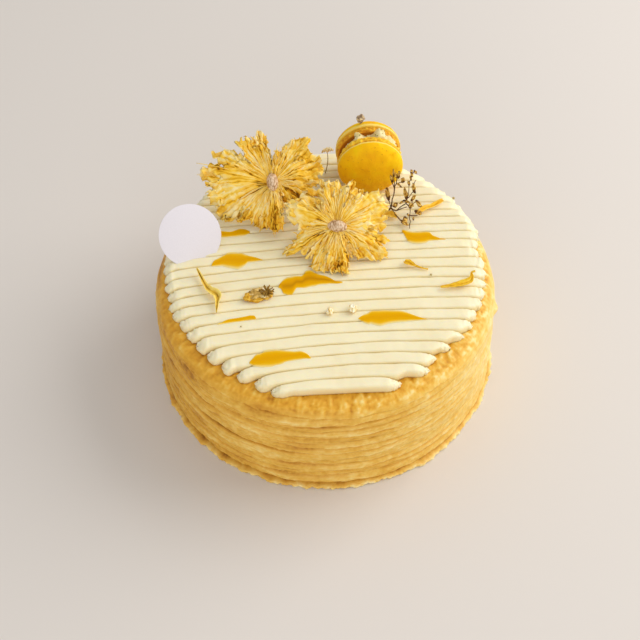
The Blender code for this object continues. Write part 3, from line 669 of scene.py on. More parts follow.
def ropeRule(i):
    left, right = reaches[i]
    before = reaches[i - 1][1] if i else right
    rng = random.Random(500 + i)
    nose, tail = rng.uniform(*cream["nose"]), rng.uniform(*cream["tail"])
    tail = rightTails.get(i, tail)
    # the ends are cut along the rim: on the front ropes they lean back
    turned = clamp((cream["middle"] - i) / cream["frontmost"], -1.0, 1.0)
    lean, tailLean = turned * rng.uniform(0.3, 0.6), turned * rng.uniform(0.1, 0.4)
    bulge, peak = rng.uniform(0.02, 0.12), rng.uniform(0.0, 0.3)
    thinning = rng.uniform(*cream["thinning"])

    def rule(ring, angle, skin):
        t = ring / (cream["stations"] - 1)
        x = blend(left, right, t - 0.085 * math.sin(math.tau * t))
        fromLeft, fromRight = x - left, right - x
        start, end = fromLeft / nose, fromRight / tail
        middle, half = ropeMiddle(i, x)
        narrower = 0.5 * cream["drawIn"] * smooth((x - before + 3.0) / 6.0)
        middle, half = middle + narrower, half - narrower
        # the width near the ends
        first = math.sqrt(1.0 - (1.0 - clamp(start, 0.0, 1.0)) ** 2)
        last = quarterTurn(end) ** 0.6
        bulb = bulge * (bell((start - 1.0) / 0.45) - 0.7 * bell((start - 2.0) / 0.5))
        frayed = 1.0 + 1.3 * (1.0 - last) * wave(x / 0.9, i * 3.7, 4.0)
        scale = max(0.05, (first + bulb) * last * frayed)
        middle += half * ((1.0 - first) * lean - 0.8 * bulb + (1.0 - last) * tailLean)
        # the height near the ends
        rise = quarterTurn(max(0.03, start / 1.3)) ** 0.55 * quarterTurn(max(0.03, end / 0.9)) ** 0.5
        rise *= blend(0.75, 1.0, smooth(fromRight / thinning))
        flat = blend(2.0, cream["flatness"], smooth(min(start / 3.4, end / 2.4)))
        sink = min(shoulderDrop(x, middle), cream["droop"])
        sink *= 1.0 - cream["stiff"] * smooth((x - 20.0) / 15.0) * clamp((9 - i) / 3.0, 0.0, 1.0)
        if skin == 0.0:
            return (x, middle, cream["base"] - sink + 0.3 * cream["height"] * scale), 0.5
        # three quarters of the ring go to the top of the rope
        angle = angle / 1.5 if angle < 1.5 * math.pi else math.pi + (angle - 1.5 * math.pi) * 2.0
        u = math.copysign(abs(math.cos(angle)) ** (2.0 / flat), math.cos(angle))
        lift = max(0.0, math.sin(angle))
        swell = 1.0 + 0.07 * wave(x / 16.0, i * 1.7, 1.0) + 0.035 * u * wave(x / 30.0, i * 5.1, 3.0)
        # faint dents and lines along it
        faint = 0.14 * wave(x / 3.2, u * 1.1, i * 1.3) + 0.2 * wave(x / 15.0, u * 2.7, i * 2.3)
        height = cream["height"] * rise * swell + faint + peak * bell((start - 0.35) / 0.3)
        # both ends are torn into small knobs
        rough = 1.0 - smooth(fromLeft / 6.5) + 0.3 * (1.0 - smooth(fromLeft / 14.0))
        rough += 1.1 * (1.0 - smooth(fromRight / 8.0))
        knob = rough * noise.noise_vector(Vector((x / 1.25, u * 2.2 + i * 4.1, lift * 1.8)))
        height = lift * (height + 0.85 * knob.x)
        y = middle + u * half * cream["overlap"] * scale + 0.6 * knob.y * scale
        y += 0.25 * lift * wave(x / 9.0, i * 2.1, 7.0)
        x += 0.7 * knob.z
        # painted light and shade: rope tops are paler and the flanks darken into the grooves, the right ends
        # are paler as a painted highlight, and raised knobs are paler
        tone = 0.5 + 0.5 * lift * (1.0 - abs(u) ** 4) + 0.15 * (1.0 - last) + 0.25 * knob.x
        if lift < 0.001:  # the underside follows the shoulder
            sink = max(sink, min(shoulderDrop(x, y), cream["skirt"]))
        return (x, y, cream["base"] - sink + height), tone
    return tubeRule(rule)


def whippedCream():
    # stiff whipped cream, smoothed by the nozzle: soft sheen, light goes into it
    return tonedFood("whippedCream", {
        "Roughness": 0.42, "IOR": 1.4, "Subsurface Weight": 0.25, "Subsurface Scale": 0.003,
        "Subsurface Radius": (1.0, 0.8, 0.45)},
        # the darker stops carry the painted shade of the grooves
        ((0.3, "#E3CB8C"), (0.6, "#F3E3B4"), (0.95, "#FAF0CC")), (60.0, 3.0, 0.35, -0.17),
        # fine marks of the nozzle, about 2 mm apart and long along a rope
        ((130, 560, 160), 3.0, 0.35, 0.0003))


def makeCream():
    blank = addTube("ropeBlank", cream["section"], cream["stations"])
    ropes = []
    for i in range(len(reaches)):
        rope = copyOf(blank, "rope%02d" % i)
        shape(rope, ropeRule(i))
        ropes.append(rope)
    discard(blank)
    finish(joinPieces(ropes, "pipedCream"), whippedCream(), "cream", "piped_cream")


makeCream()
print("piped cream")


# Fruit puree: pools that fill a groove and run over the ropes beside it

# outlines from left to right: x, the edge at the front, the edge at the back
pools = {
    "puree_1": (
        (-36.4, -56.4, -55.5), (-35.0, -57.3, -53.5), (-33.2, -58.2, -50.9), (-31.3, -58.6, -50.1),
        (-29.5, -58.8, -48.7), (-27.6, -58.9, -48.2), (-25.7, -58.8, -48.0), (-23.8, -58.4, -47.9),
        (-22.0, -57.9, -48.2), (-19.6, -56.5, -48.8), (-17.3, -55.7, -49.2), (-14.9, -55.1, -49.5),
        (-12.6, -54.8, -49.3), (-10.7, -54.5, -50.0), (-8.8, -54.3, -51.5), (-7.4, -54.1, -53.5)),
    "puree_2": (
        (15.3, -30.9, -30.5), (16.7, -32.0, -29.2), (18.1, -33.3, -28.2), (20.1, -34.3, -27.2),
        (21.5, -34.1, -26.0), (23.4, -34.9, -25.4), (25.8, -35.5, -25.3), (28.2, -34.7, -25.4),
        (30.6, -34.0, -25.6), (33.0, -33.6, -25.8), (35.4, -33.3, -26.0), (37.8, -33.1, -26.7),
        (39.7, -32.8, -27.6), (41.6, -32.6, -28.6), (44.0, -32.4, -29.9), (46.3, -32.0, -30.8),
        (48.7, -31.8, -31.5)),
    "puree_3": (
        (-52.2, -33.0, -32.4), (-50.3, -32.9, -31.5), (-47.9, -32.6, -30.0), (-46.0, -32.1, -29.4),
        (-43.6, -31.6, -29.1), (-41.2, -31.3, -28.6), (-38.9, -30.8, -28.1), (-36.5, -30.4, -27.5),
        (-34.5, -30.2, -27.7), (-33.6, -30.0, -29.1)),
    "puree_4": (
        (-23.1, -10.7, -9.4), (-21.7, -11.7, -7.2), (-20.7, -14.5, -5.7), (-19.2, -15.5, -4.4),
        (-17.8, -15.8, -3.8), (-16.3, -15.6, -3.5), (-14.8, -12.8, -3.2), (-13.9, -11.5, -3.2),
        (-11.4, -11.6, -3.0), (-9.9, -11.5, -0.4), (-7.5, -10.7, 0.5), (-5.0, -10.1, -0.9),
        (-3.6, -9.5, -2.2), (-1.6, -9.1, -2.9), (0.3, -9.0, -3.6), (2.3, -8.7, -4.8), (4.2, -8.8, -6.2),
        (6.2, -8.8, -6.9), (8.6, -8.2, -7.6)),
    "puree_5": (
        (-56.4, 3.8, 4.5), (-54.9, 3.6, 7.7), (-53.0, 3.6, 9.0), (-51.0, 3.8, 10.6), (-49.0, 3.0, 12.6),
        (-47.1, 2.4, 13.2), (-45.1, 1.9, 13.2), (-43.1, 1.5, 13.0), (-41.6, 2.2, 12.8),
        (-39.6, 3.8, 11.4), (-38.1, 5.7, 10.6), (-36.1, 6.1, 9.9), (-34.2, 6.4, 9.2), (-32.2, 6.9, 8.2),
        (-30.7, 7.1, 7.5)),
    "puree_6": (
        (39.1, 24.5, 25.9), (40.1, 22.5, 25.8), (41.5, 18.4, 25.6), (43.0, 17.1, 25.2),
        (45.4, 16.3, 24.8), (47.9, 16.3, 24.6), (50.5, 16.7, 24.9), (52.0, 17.5, 24.6),
        (53.0, 17.8, 24.2), (54.4, 18.1, 22.1), (56.4, 18.2, 20.8), (58.4, 18.5, 19.8),
        (60.9, 18.6, 19.3)),
    "puree_7": (
        (-55.6, 23.3, 26.7), (-54.1, 22.6, 27.1), (-52.1, 22.5, 27.3), (-49.5, 22.6, 26.9),
        (-47.0, 22.9, 26.8), (-44.5, 23.0, 27.9), (-42.5, 23.3, 28.7), (-40.0, 23.6, 28.3),
        (-38.5, 24.6, 27.3), (-37.5, 25.4, 26.3)),
}
film = {
    "across": 24,
    "along": 96,
    "thickness": 0.9,
    "height": 0.34,         # how far the middle stands above the ropes
    "depth": 0.6,           # how deep a pool looks, and the ones that differ; puree_4 is darker as painted shade under the front flower, partly as a deeper pool
    "deeperAndShaded": {"puree_4": 1.0},
    "fading": {"puree_3": 0.45},  # share of the length over which the left end is only a stain
}


def along(points, t):  # a smooth line through the points, by Catmull and Rom
    spans = len(points) - 1
    k = min(int(t * spans), spans - 1)
    s = t * spans - k
    p = [Vector(points[max(0, min(spans, k + d))]) for d in (-1, 0, 1, 2)]
    return 0.5 * (2 * p[1] + (p[2] - p[0]) * s + (2 * p[0] - 5 * p[1] + 4 * p[2] - p[3]) * s * s
                  + (3 * p[1] - p[0] - 3 * p[2] + p[3]) * s ** 3)


def poolRule(node, outline):
    level = cream["base"] + cream["height"]
    # a darker pool carries painted shade as well as depth
    depth, fading = film["deeperAndShaded"].get(node, film["depth"]), film["fading"].get(node, 0.02)

    def rule(co):
        t, v = (co.x + 1.0) / 2.0, co.y
        x, near, far = along(outline, t)
        y = blend(near, far, (v + 1.0) / 2.0)
        rim = max(abs(v), abs(2.0 * t - 1.0) ** 8)
        z = blend(level, creamHeight(x, y), rim ** 3) + film["height"] * (1.0 - rim ** 4)
        return (x, y, z), (1.0 - rim) * depth * (0.25 + 0.75 * smooth(t / fading))
    return rule


def fruitPuree():
    # sieved mango-coloured puree: wet and glossy, paler where the film is thin
    return tonedFood("fruitPuree", {
        "Roughness": 0.24, "IOR": 1.36, "Specular IOR Level": 0.12, "Subsurface Weight": 0.1,
        "Subsurface Scale": 0.002, "Subsurface Radius": (1.0, 0.6, 0.1)},
        ((0.0, "#F6E6B0"), (0.09, "#F5D87C"), (0.2, "#F0BC20"), (0.34, "#EBAE00"), (0.6, "#E6A600"),
         (1.0, "#C88A00")), None, ((420, 420, 420), 3.0, 0.2, 0.0002))


def makePools():
    material = fruitPuree()
    blank = addSheet("poolBlank", film["along"], film["across"])
    for node, outline in pools.items():
        piece = copyOf(blank, node.replace("_", ""))
        shape(piece, poolRule(node, outline))
        applyModifier(piece, "SOLIDIFY", thickness=mm(film["thickness"]), offset=-1.0)
        finish(piece, material, "puree", node)
    discard(blank)


makePools()
print("fruit puree")


# Dried flowers: creased, frilled fans of papery petals with finer rays on them

flowers = {
    "backFlower": {
        "node": "flower_back",
        "centre": (-25.6, 43.0, 81.0),
        # the outline as it shows: direction from +X, how far out, how much higher than the middle
        "outline": (
            (0, 22.8, -0.3), (5, 24.5, 1.8), (10, 25.3, 3.8), (14, 26.8, 5.8), (18, 27.1, 7.6),
            (22, 25.9, 8.8), (24, 24.1, 8.8), (29, 22.9, 10.1), (33, 23.4, 11.8), (37.5, 24.5, 13.9),
            (42, 23.7, 14.9), (44.5, 21.9, 14.6), (48, 19.8, 14.5), (54.5, 18.4, 15.4), (61, 16.7, 15.8),
            (65, 14.4, 14.6), (69, 12.7, 13.8), (71, 11.5, 12.6), (78, 12.8, 13.4), (84, 12.5, 12.5),
            (87, 9.5, 9.2), (93, 6.8, 6.3), (98, 15.9, 14.2), (102, 18.3, 15.7), (106, 19.5, 16.6),
            (111, 19.4, 16.2), (117.5, 18.7, 15.3), (125, 18.2, 14.5), (129.5, 18.7, 14.1),
            (133, 20.1, 14.2), (137, 20.1, 13.1), (145, 18.7, 10.4), (149, 21.0, 10.6),
            (150.5, 23.0, 11.4), (152, 24.9, 11.8), (154, 26.7, 12.2), (156, 28.9, 12.6),
            (159, 30.4, 12.4), (163, 31.3, 11.6), (164.5, 27.5, 9.2), (166, 25.9, 7.9), (169.5, 34.7, 8.2),
            (171, 36.8, 7.5), (173, 36.0, 5.9), (175.5, 34.9, 4.1), (179, 33.9, 1.8), (182, 33.0, -0.4),
            (186, 32.7, -2.6), (190, 32.8, -4.7), (193.5, 32.6, -6.8), (196.5, 31.6, -9.0),
            (200, 30.3, -11.3), (203.5, 28.9, -13.1), (205, 26.4, -12.5), (207, 23.5, -11.9),
            (211, 20.8, -11.6), (216.5, 20.4, -12.7), (223.5, 19.8, -14.1), (232, 19.3, -13.9),
            (240, 18.3, -13.3), (247, 18.9, -13.9), (255, 19.9, -14.1), (261, 19.8, -13.5),
            (265, 19.7, -13.1), (268, 21.9, -14.3), (272, 23.1, -14.9), (277, 22.3, -14.1),
            (284, 20.3, -12.4), (288.5, 17.1, -10.3), (293, 12.9, -7.6), (306, 10.2, -5.7),
            (324, 10.7, -4.2), (337, 13.8, -3.7), (343.5, 23.6, -4.8), (348, 22.2, -3.4),
            (354.5, 20.9, -1.7)),
        "start": 93.0,          # the sheet of petals is open here, in the deepest notch
        # paler and darker places, the dark ones below and beside the seed head partly painted shade and
        # partly browner petals: direction, spread, share of the reach, spread of that, change of tone
        "marks": (
            (153, 9, 0.85, 0.3, 0.2), (121, 9, 0.62, 0.22, -0.26), (165, 5, 0.74, 0.1, -0.3),
            (172, 5, 0.5, 0.12, -0.25), (38, 12, 0.85, 0.14, -0.14), (55, 9, 0.85, 0.2, 0.16),
            (14, 15, 0.7, 0.28, -0.16), (331, 7, 0.65, 0.4, -0.8), (272, 8, 0.75, 0.45, -0.5),
            (215, 24, 0.45, 0.3, 0.12), (224, 8, 0.96, 0.16, -0.3), (205, 34, 0.16, 0.1, -0.8),
            (255, 26, 0.9, 0.3, -0.16)),
        "upper": 0.8,           # share of the reach that the upper petals cover
        "rays": 120,
        "longRays": ((148, 212, 1.5), (82, 102, 1.9)),  # between these directions they are that much longer
        "button": (2.9, 5.2, 4.4),
        "buttonTurn": 8.0,
        "seed": 11,
    },
    "frontFlower": {
        "node": "flower_front",
        "centre": (6.3, 16.5, 76.5),
        "outline": (
            (2, 19.8, -3.9), (6, 21.4, -2.6), (9, 24.6, -1.5), (13.5, 25.0, 0.7), (18, 25.9, 2.8),
            (22, 27.6, 4.7), (26, 28.2, 6.8), (30, 27.7, 8.7), (35, 26.2, 10.1), (39, 23.8, 10.7),
            (42.5, 21.1, 10.7), (47, 20.7, 11.2), (50, 22.8, 13.0), (52.5, 20.2, 11.9), (55.5, 17.9, 11.0),
            (61.5, 18.6, 12.3), (67.5, 20.9, 14.9), (70, 16.8, 12.2), (78, 17.6, 12.5), (84.5, 19.1, 13.3),
            (89, 20.8, 14.3), (98, 21.4, 14.3), (107, 20.9, 13.8), (115, 19.9, 13.0), (121, 18.3, 12.0),
            (124, 16.5, 10.5), (126.5, 14.7, 8.9), (133.5, 14.2, 7.7), (135, 16.6, 8.7),
            (138.5, 18.9, 9.3), (142.5, 20.9, 9.5), (146, 23.6, 9.9), (149.5, 25.5, 9.9), (153, 26.3, 9.3),
            (158, 25.7, 8.0), (162.5, 25.8, 6.5), (165.5, 25.0, 4.4), (168, 23.7, 2.2), (170, 21.9, 0.8),
            (172, 20.5, -0.6), (177, 19.9, -3.3), (181.5, 21.0, -5.4), (184, 23.5, -6.8),
            (187, 25.7, -8.1), (191.5, 27.1, -9.9), (197, 26.2, -11.2), (201, 19.4, -9.0),
            (209, 16.7, -8.5), (219, 15.5, -9.0), (222, 17.1, -10.0), (225, 19.3, -11.3),
            (233, 20.3, -11.3), (241, 20.1, -11.3), (246.5, 19.6, -11.3), (258, 18.8, -11.3),
            (268.5, 19.4, -11.3), (276.5, 21.2, -11.3), (284, 19.9, -11.3), (286.5, 16.2, -11.1),
            (294, 14.3, -10.2), (297, 11.8, -8.6), (308, 13.2, -9.5), (315, 15.6, -10.4),
            (324.5, 18.5, -11.2), (330, 22.0, -11.3), (335.5, 25.2, -11.3), (340.5, 27.6, -11.3),
            (348, 23.1, -9.3), (352, 23.4, -8.2), (356, 26.3, -7.7), (358, 23.2, -6.0)),
        "start": 297.0,
        "marks": (
            (152, 16, 0.8, 0.3, 0.04), (108, 16, 0.8, 0.3, 0.14), (114, 4, 0.45, 0.18, -0.4),
            (30, 20, 0.75, 0.25, -0.06), (270, 14, 0.86, 0.17, -0.5), (212, 24, 0.22, 0.14, -0.85),
            (339, 8, 0.96, 0.14, -0.25), (60, 22, 0.5, 0.25, 0.14), (0, 20, 0.5, 0.25, 0.12)),
        "upper": 0.74,
        "rays": 120,
        "longRays": (),
        "button": (4.9, 3.1, 3.0),
        "buttonTurn": -8.0,
        "seed": 23,
    },
}
petals = {
    "lower": (760, 44),         # grid of the lower petals: round the flower, outward
    "upper": (620, 34),
    "overlap": 5.0,             # degrees that the open ends of a sheet cover each other
    "arch": 2.2,
    "folds": 56,                # radial folds round a flower
    "fold": 0.6,
    "creases": 2.6,             # finer creases to a fold
    "crease": 0.2,
    "broadWave": 2.4,
    "ragged": 1.9,
    "curl": 4.5,
    "frill": 1.15,
    "streak": 0.16,
    "thickness": 0.14,
    "lowest": 64.75,            # petals that come down rest on the ropes
    "seat": 0.06,               # share of the reach that is hidden under the seed head
    "upperLift": 1.5,
}
rays = {  # from and to
    "grid": (4, 12),
    "start": (1.5, 4.5),
    "share": (0.3, 0.75),       # of the reach
    "shortest": 3.0,
    "lift": (1.3, 2.2),
    "halfWidth": (0.12, 0.36),
    "bend": (-2.6, 2.6),
    "twist": (-0.9, 0.9),
    "curl": (-1.4, 1.8),
    "tone": (0.6, 0.88),
}


def outlineAt(flower, azimuth):  # reach and rise of the outline in that direction
    rows = flower["outline"]
    azimuth %= 360.0
    after = next((k for k, row in enumerate(rows) if row[0] > azimuth), 0)
    (a, reachA, riseA), (b, reachB, riseB) = rows[after - 1], rows[after]
    share = ((azimuth - a) % 360.0) / ((b - a) % 360.0)
    return blend(reachA, reachB, share), blend(riseA, riseB, share)


# paler and darker places; the dark ones near the seed heads are partly painted shade
def markAndShadeTone(flower, azimuth, run):
    tone = 0.0
    for at, spread, middle, runSpread, change in flower["marks"]:
        away = turnedAway(azimuth, at) / spread
        if abs(away) < 3.0:
            tone += change * bell(away) * bell((run - middle) / runSpread)
    return tone


def sheetRule(flower, share, lift, seed):
    # a round sheet of grown-together petals: folded along the rays, torn, curled and frilled at its edge
    centre = Vector(flower["centre"])

    def rule(co):
        azimuth = flower["start"] + (co.x + 1.0) / 2.0 * (360.0 + petals["overlap"])
        s = 1.0 - (1.0 - (co.y + 1.0) / 2.0) ** 1.4
        turn = math.radians(azimuth)
        ring = around(turn, 1.0, seed)

        def varied(fineness, drift=0.0, shift=0.0):  # noise that closes round the flower and drifts outward
            return noise.noise(ring * fineness + Vector((shift, 0, s * drift)))

        reach, rise = outlineAt(flower, azimuth)
        if share < 1.0:  # the upper petals have an outline of their own
            own = share * (1.0 + 0.5 * varied(2.2) + 0.36 * varied(6.0) + 0.3 * varied(13.0))
            rise *= own
            reach *= own
        ragged = petals["ragged"] * (varied(9.0) + 1.1 * varied(22.0) + 0.7 * varied(48.0))
        run = blend(petals["seat"], 1.0, s)
        far = (reach + ragged * s * s) * run
        z = rise * run ** 1.15 + petals["arch"] * 4.0 * run * (1.0 - run) + lift * (0.35 + 0.65 * s)
        z += petals["broadWave"] * s * varied(2.6, 0.9)
        # folds: 0 in a sharp valley, 1 on a round ridge, with finer creases
        line = azimuth / 360.0 * petals["folds"] + 1.1 * varied(5.0, 1.1) + 0.2 * varied(16.0, 2.0)
        fold = abs(math.sin(math.pi * line)) ** 0.6
        strong = clamp(0.55 + 2.0 * varied(7.0, 0.8, 9.0), 0.1, 1.5)
        z += petals["fold"] * (0.5 + 0.7 * s) * strong * (fold - 0.6) * (1.0 - 0.35 * s ** 3)
        finer = line * petals["creases"] + 1.5 * noise.noise(ring * 11.0 + Vector((0, 3.0, s * 2.2)))
        crease = abs(math.sin(math.pi * finer)) ** 0.7
        streak = varied(21.0, 2.0)
        curl, end = petals["curl"] * varied(3.6, 0.0, 4.0), smooth((s - 0.74) / 0.26)
        z += petals["crease"] * (crease - 0.6) + petals["streak"] * (0.5 + s) * streak + curl * end
        far -= 0.35 * abs(curl) * end
        # frills and crumples
        place = around(turn, far, z)
        spot = place + Vector((seed * 9.0, 0, 0))
        frill = petals["frill"] * (0.05 + 0.95 * s ** 3 + 0.45 * s ** 12)
        shift = noise.noise_vector(spot / 2.0)
        place += Vector((shift.x * 1.4, shift.y * 1.4, shift.z * 2.0)) * frill
        crumple = noise.noise(spot / 4.5)
        place.z += 1.1 * (0.15 + 0.85 * s) * crumple
        place += centre
        place.z = max(place.z, petals["lowest"] + 0.2 + 0.7 * max(0.0, crumple + 0.5 * shift.x))
        patch, fine = noise.noise(spot / 8.0 + Vector((0, 0, 7.0))), noise.noise(spot / 1.4)
        # painted light and shade: fold valleys and creases are darker and more amber, darkest near the seed
        # head, and ridges and lifted frills are paler; patches and streaks are the petals' own
        tone = 0.62 + 0.26 * patch + 0.24 * fine + 0.42 * streak + 0.18 * shift.z * s + 0.22 * fold ** 5
        tone -= 0.78 * strong * (1.0 - fold) ** 1.4 * (1.0 - 0.4 * s) + 0.36 * (1.0 - crease) ** 1.6
        tone += markAndShadeTone(flower, azimuth, run * share) - 0.6 * bell(far / 7.5) * (1.0 - fold) + 0.12 * s ** 8
        return place, clamp(tone, 0.0, 1.0)
    return rule


def rayRule(flower, azimuth, start, length, lift, halfWidth, seed):
    # a narrow petal, folded along its middle
    reach, rise = outlineAt(flower, azimuth)
    reach = max(reach, length)
    centre, turn = Vector(flower["centre"]), math.radians(azimuth)
    out, side = around(turn, 1.0, 0.0), around(turn + math.pi / 2, 1.0, 0.0)
    rng = random.Random(seed)
    bend, twist, curl, base = (rng.uniform(*rays[key]) for key in ("bend", "twist", "curl", "tone"))

    def rule(co):
        c, s = co.x, (co.y + 1.0) / 2.0
        run = blend(start, length, s)
        share = run / reach
        width = halfWidth * (0.4 + 0.6 * math.sin(math.pi * min(1.0, 0.12 + s * 0.8))) * (1.0 - 0.8 * s ** 5)
        z = rise * share ** 1.25 + petals["arch"] * 4.0 * share * (1.0 - share)
        z += lift * (0.4 + 0.6 * s) + curl * s ** 3
        sway = 1.1 * wave(s * 2.4, seed * 0.7, 3.0)
        level = c * width * math.cos(twist * s)
        z += sway * 0.6 + abs(c) * width * 0.6 + c * width * math.sin(twist * s)
        place = centre + out * run + side * (bend * s * s + sway * s + level) + Vector((0, 0, z))
        place.z = max(place.z, petals["lowest"] + 0.5)
        # the root of each ray is darker: painted shade by the seed head
        tone = base + 0.1 * abs(c) - 0.4 * (1.0 - s) ** 4 + 0.25 * wave(s * 4.0, seed * 1.3, 1.0)
        return place, clamp(tone, 0.0, 1.0)
    return rule


def driedPetal():
    # petals pressed and dried: papery, dull, mottled and finely fibrous; the dark end of the ramp carries the
    # painted shade in folds and by the seed head
    return tonedFood("driedPetal", {"Roughness": 0.8, "IOR": 1.3, "Specular IOR Level": 0.25}, (
        (0.0, "#84560E"), (0.07, "#B98014"), (0.16, "#DEA21A"), (0.3, "#F2BC2E"), (0.5, "#FDCF48"),
        (0.74, "#FFDE74"), (1.0, "#FFECAC")), (260.0, 4.0, 0.4, -0.2), ((1100, 1100, 1100), 2.0, 0.4, 0.0002))


def seedHead():
    # the seed head in the middle: dry, beige and finely pitted
    material, tree, place = newFood("driedSeedHead", {"Roughness": 0.8, "IOR": 1.4})
    long = addNode(tree, "Mapping", {"Scale": (1.0, 0.45, 0.6)}, {"Vector": place}).outputs["Vector"]
    cells = addNode(tree, "TexVoronoi", {"Scale": 1300.0}, {"Vector": long}).outputs["Distance"]
    colour = addNode(tree, "ValToRGB", {"stops": (
        (0.1, "#F4E0C6"), (0.5, "#DEBE9A"), (0.85, "#A88058"))}, {"Fac": cells})
    raised = addNode(tree, "Math", {"operation": "MULTIPLY", 1: -1.0}, {0: cells}).outputs[0]
    return cover(material, colour.outputs["Color"], (0.5, 0.0004, raised))


button = {
    "segments": 48,
    "rings": 12,
    "lowest": -0.42,        # share of a quarter turn below the middle where the seed head starts
    "lift": 1.6,
}
stalk = {
    "segments": 12,
    "rings": 10,
    "radius": (1.6, 2.2),   # below and above
    "foot": 2.0,            # where it starts, above the ropes' underside
    "head": 0.5,
}


def buttonRule(flower):
    centre = Vector(flower["centre"])
    long, wide, tall = flower["button"]
    turn = math.radians(flower["buttonTurn"])

    def rule(ring, angle, skin):
        latitude = blend(button["lowest"], 1.0, ring / (button["rings"] - 1)) * math.pi / 2
        radius = skin * (math.cos(latitude) if ring < button["rings"] - 1 else 0.12)
        spot = Vector((long, wide, tall)) * around(angle, radius, math.sin(latitude))
        spot.z += 0.35 * bumps(spot, 1.3, flower["seed"])
        spot.rotate(Matrix.Rotation(turn, 3, "Z"))
        return centre + spot + Vector((0, 0, button["lift"])), 0.5
    return tubeRule(rule)


def stalkRule(flower):  # the hidden stalk from the seed head down into the cream
    x, y, z = flower["centre"]
    foot, head = Vector((x, y, cream["base"] + stalk["foot"])), Vector((x, y, z + stalk["head"]))

    def rule(ring, angle, skin):
        share = ring / (stalk["rings"] - 1)
        return foot.lerp(head, share) + around(angle, blend(*stalk["radius"], share) * skin, 0.0), 0.3
    return tubeRule(rule)


def makeRays(blank, name, flower):
    pieces = []
    rng = random.Random(flower["seed"])
    for k in range(flower["rays"]):
        azimuth = 360.0 * k / flower["rays"] + rng.uniform(-2.5, 2.5)
        start = rng.uniform(*rays["start"])
        length = outlineAt(flower, azimuth)[0] * rng.uniform(*rays["share"])
        for first, last, more in flower["longRays"]:
            if first < azimuth < last:
                length *= more
        length = max(length, start + rays["shortest"])
        lift, half = rng.uniform(*rays["lift"]), rng.uniform(*rays["halfWidth"])
        piece = copyOf(blank, "%sRay%03d" % (name, k))
        shape(piece, rayRule(flower, azimuth, start, length, lift, half, flower["seed"] * 1000 + k))
        pieces.append(piece)
    return pieces


def makeFlowers():
    petalFinish, buttonFinish = driedPetal(), seedHead()
    blanks = {
        "lower": addSheet("lowerBlank", *petals["lower"]),
        "upper": addSheet("upperBlank", *petals["upper"]),
        "ray": addSheet("rayBlank", *rays["grid"]),
        "button": addTube("buttonBlank", button["segments"], button["rings"]),
        "stalk": addTube("stalkBlank", stalk["segments"], stalk["rings"]),
    }
    for name, flower in flowers.items():
        node, seed = flower["node"], flower["seed"]
        lower = copyOf(blanks["lower"], name)
        shape(lower, sheetRule(flower, 1.0, 0.0, seed))
        applyModifier(lower, "SOLIDIFY", thickness=mm(petals["thickness"]), offset=0.0)
        finish(lower, petalFinish, "petal", node)
        upper = copyOf(blanks["upper"], name + "Upper")
        shape(upper, sheetRule(flower, flower["upper"], petals["upperLift"], seed + 3.3))
        head = joinPieces([upper] + makeRays(blanks["ray"], name, flower), name + "Upper")
        applyModifier(head, "SOLIDIFY", thickness=mm(petals["thickness"]), offset=0.0)
        stem = copyOf(blanks["stalk"], name + "Stalk")
        shape(stem, stalkRule(flower))
        finish(joinPieces([head, stem], name + "Upper"), petalFinish, "petal", node)
        seeds = copyOf(blanks["button"], name + "Button")
        shape(seeds, buttonRule(flower))
        finish(seeds, buttonFinish, "petal", node)
    for blank in blanks.values():
        discard(blank)
    return petalFinish


petalFinish = makeFlowers()
print("flowers")


# Macaron, standing on its edge with its front shell tilted to the front

macaron = {
    "edge": (24.0, 55.8, 79.6),   # middle of the front dome's edge plane
    "elevation": 3.0,
    "azimuth": 3.0,
    "radius": 16.7,
    "filling": 5.0,
    "lumps": ({"angle": 113.0, "spread": 8.0, "out": 3.2}, {"angle": 69.0, "spread": 11.0, "out": 4.9},
              {"angle": 38.0, "spread": 17.0, "out": 2.6}),
    "flecks": (5, 8),       # how many on the first two lumps
    "segments": 160,
    "rings": 44,
    "fillingRings": 12,
    "footStart": 0.1,       # share of the rings on the flat side, and on that and the foot
    "footEnd": 0.42,
    "pit": (10.4, 9.6),     # the small hole in the front dome
}
# how deep the dome and the foot are, how full the dome's shoulder is, how far behind and below it stands; the
# back shell's foot is darker as painted shade
shells = {
    "macaronFront": {"node": "macaron_front", "dome": 6.6, "foot": 5.0, "full": 0.8, "seed": 3.0, "side": 1.0,
                     "behind": 0.0, "slip": 0.0, "darker": 0.0},
    "macaronBack": {"node": "macaron_back", "dome": 7.6, "foot": 3.9, "full": 0.62, "seed": 8.0, "side": -1.0,
                    "behind": 13.9, "slip": 1.0, "darker": 0.1},
}


def onMacaron(depth, radius, angle, slip=0.0):  # a point by its place along the axis and round it
    axis = facing(macaron)
    across = Vector((0, 0, 1)).cross(axis).normalized()
    over = axis.cross(across)
    return Vector(macaron["edge"]) + axis * depth + across * (radius * math.cos(angle)) + over * (
        radius * math.sin(angle) - slip)


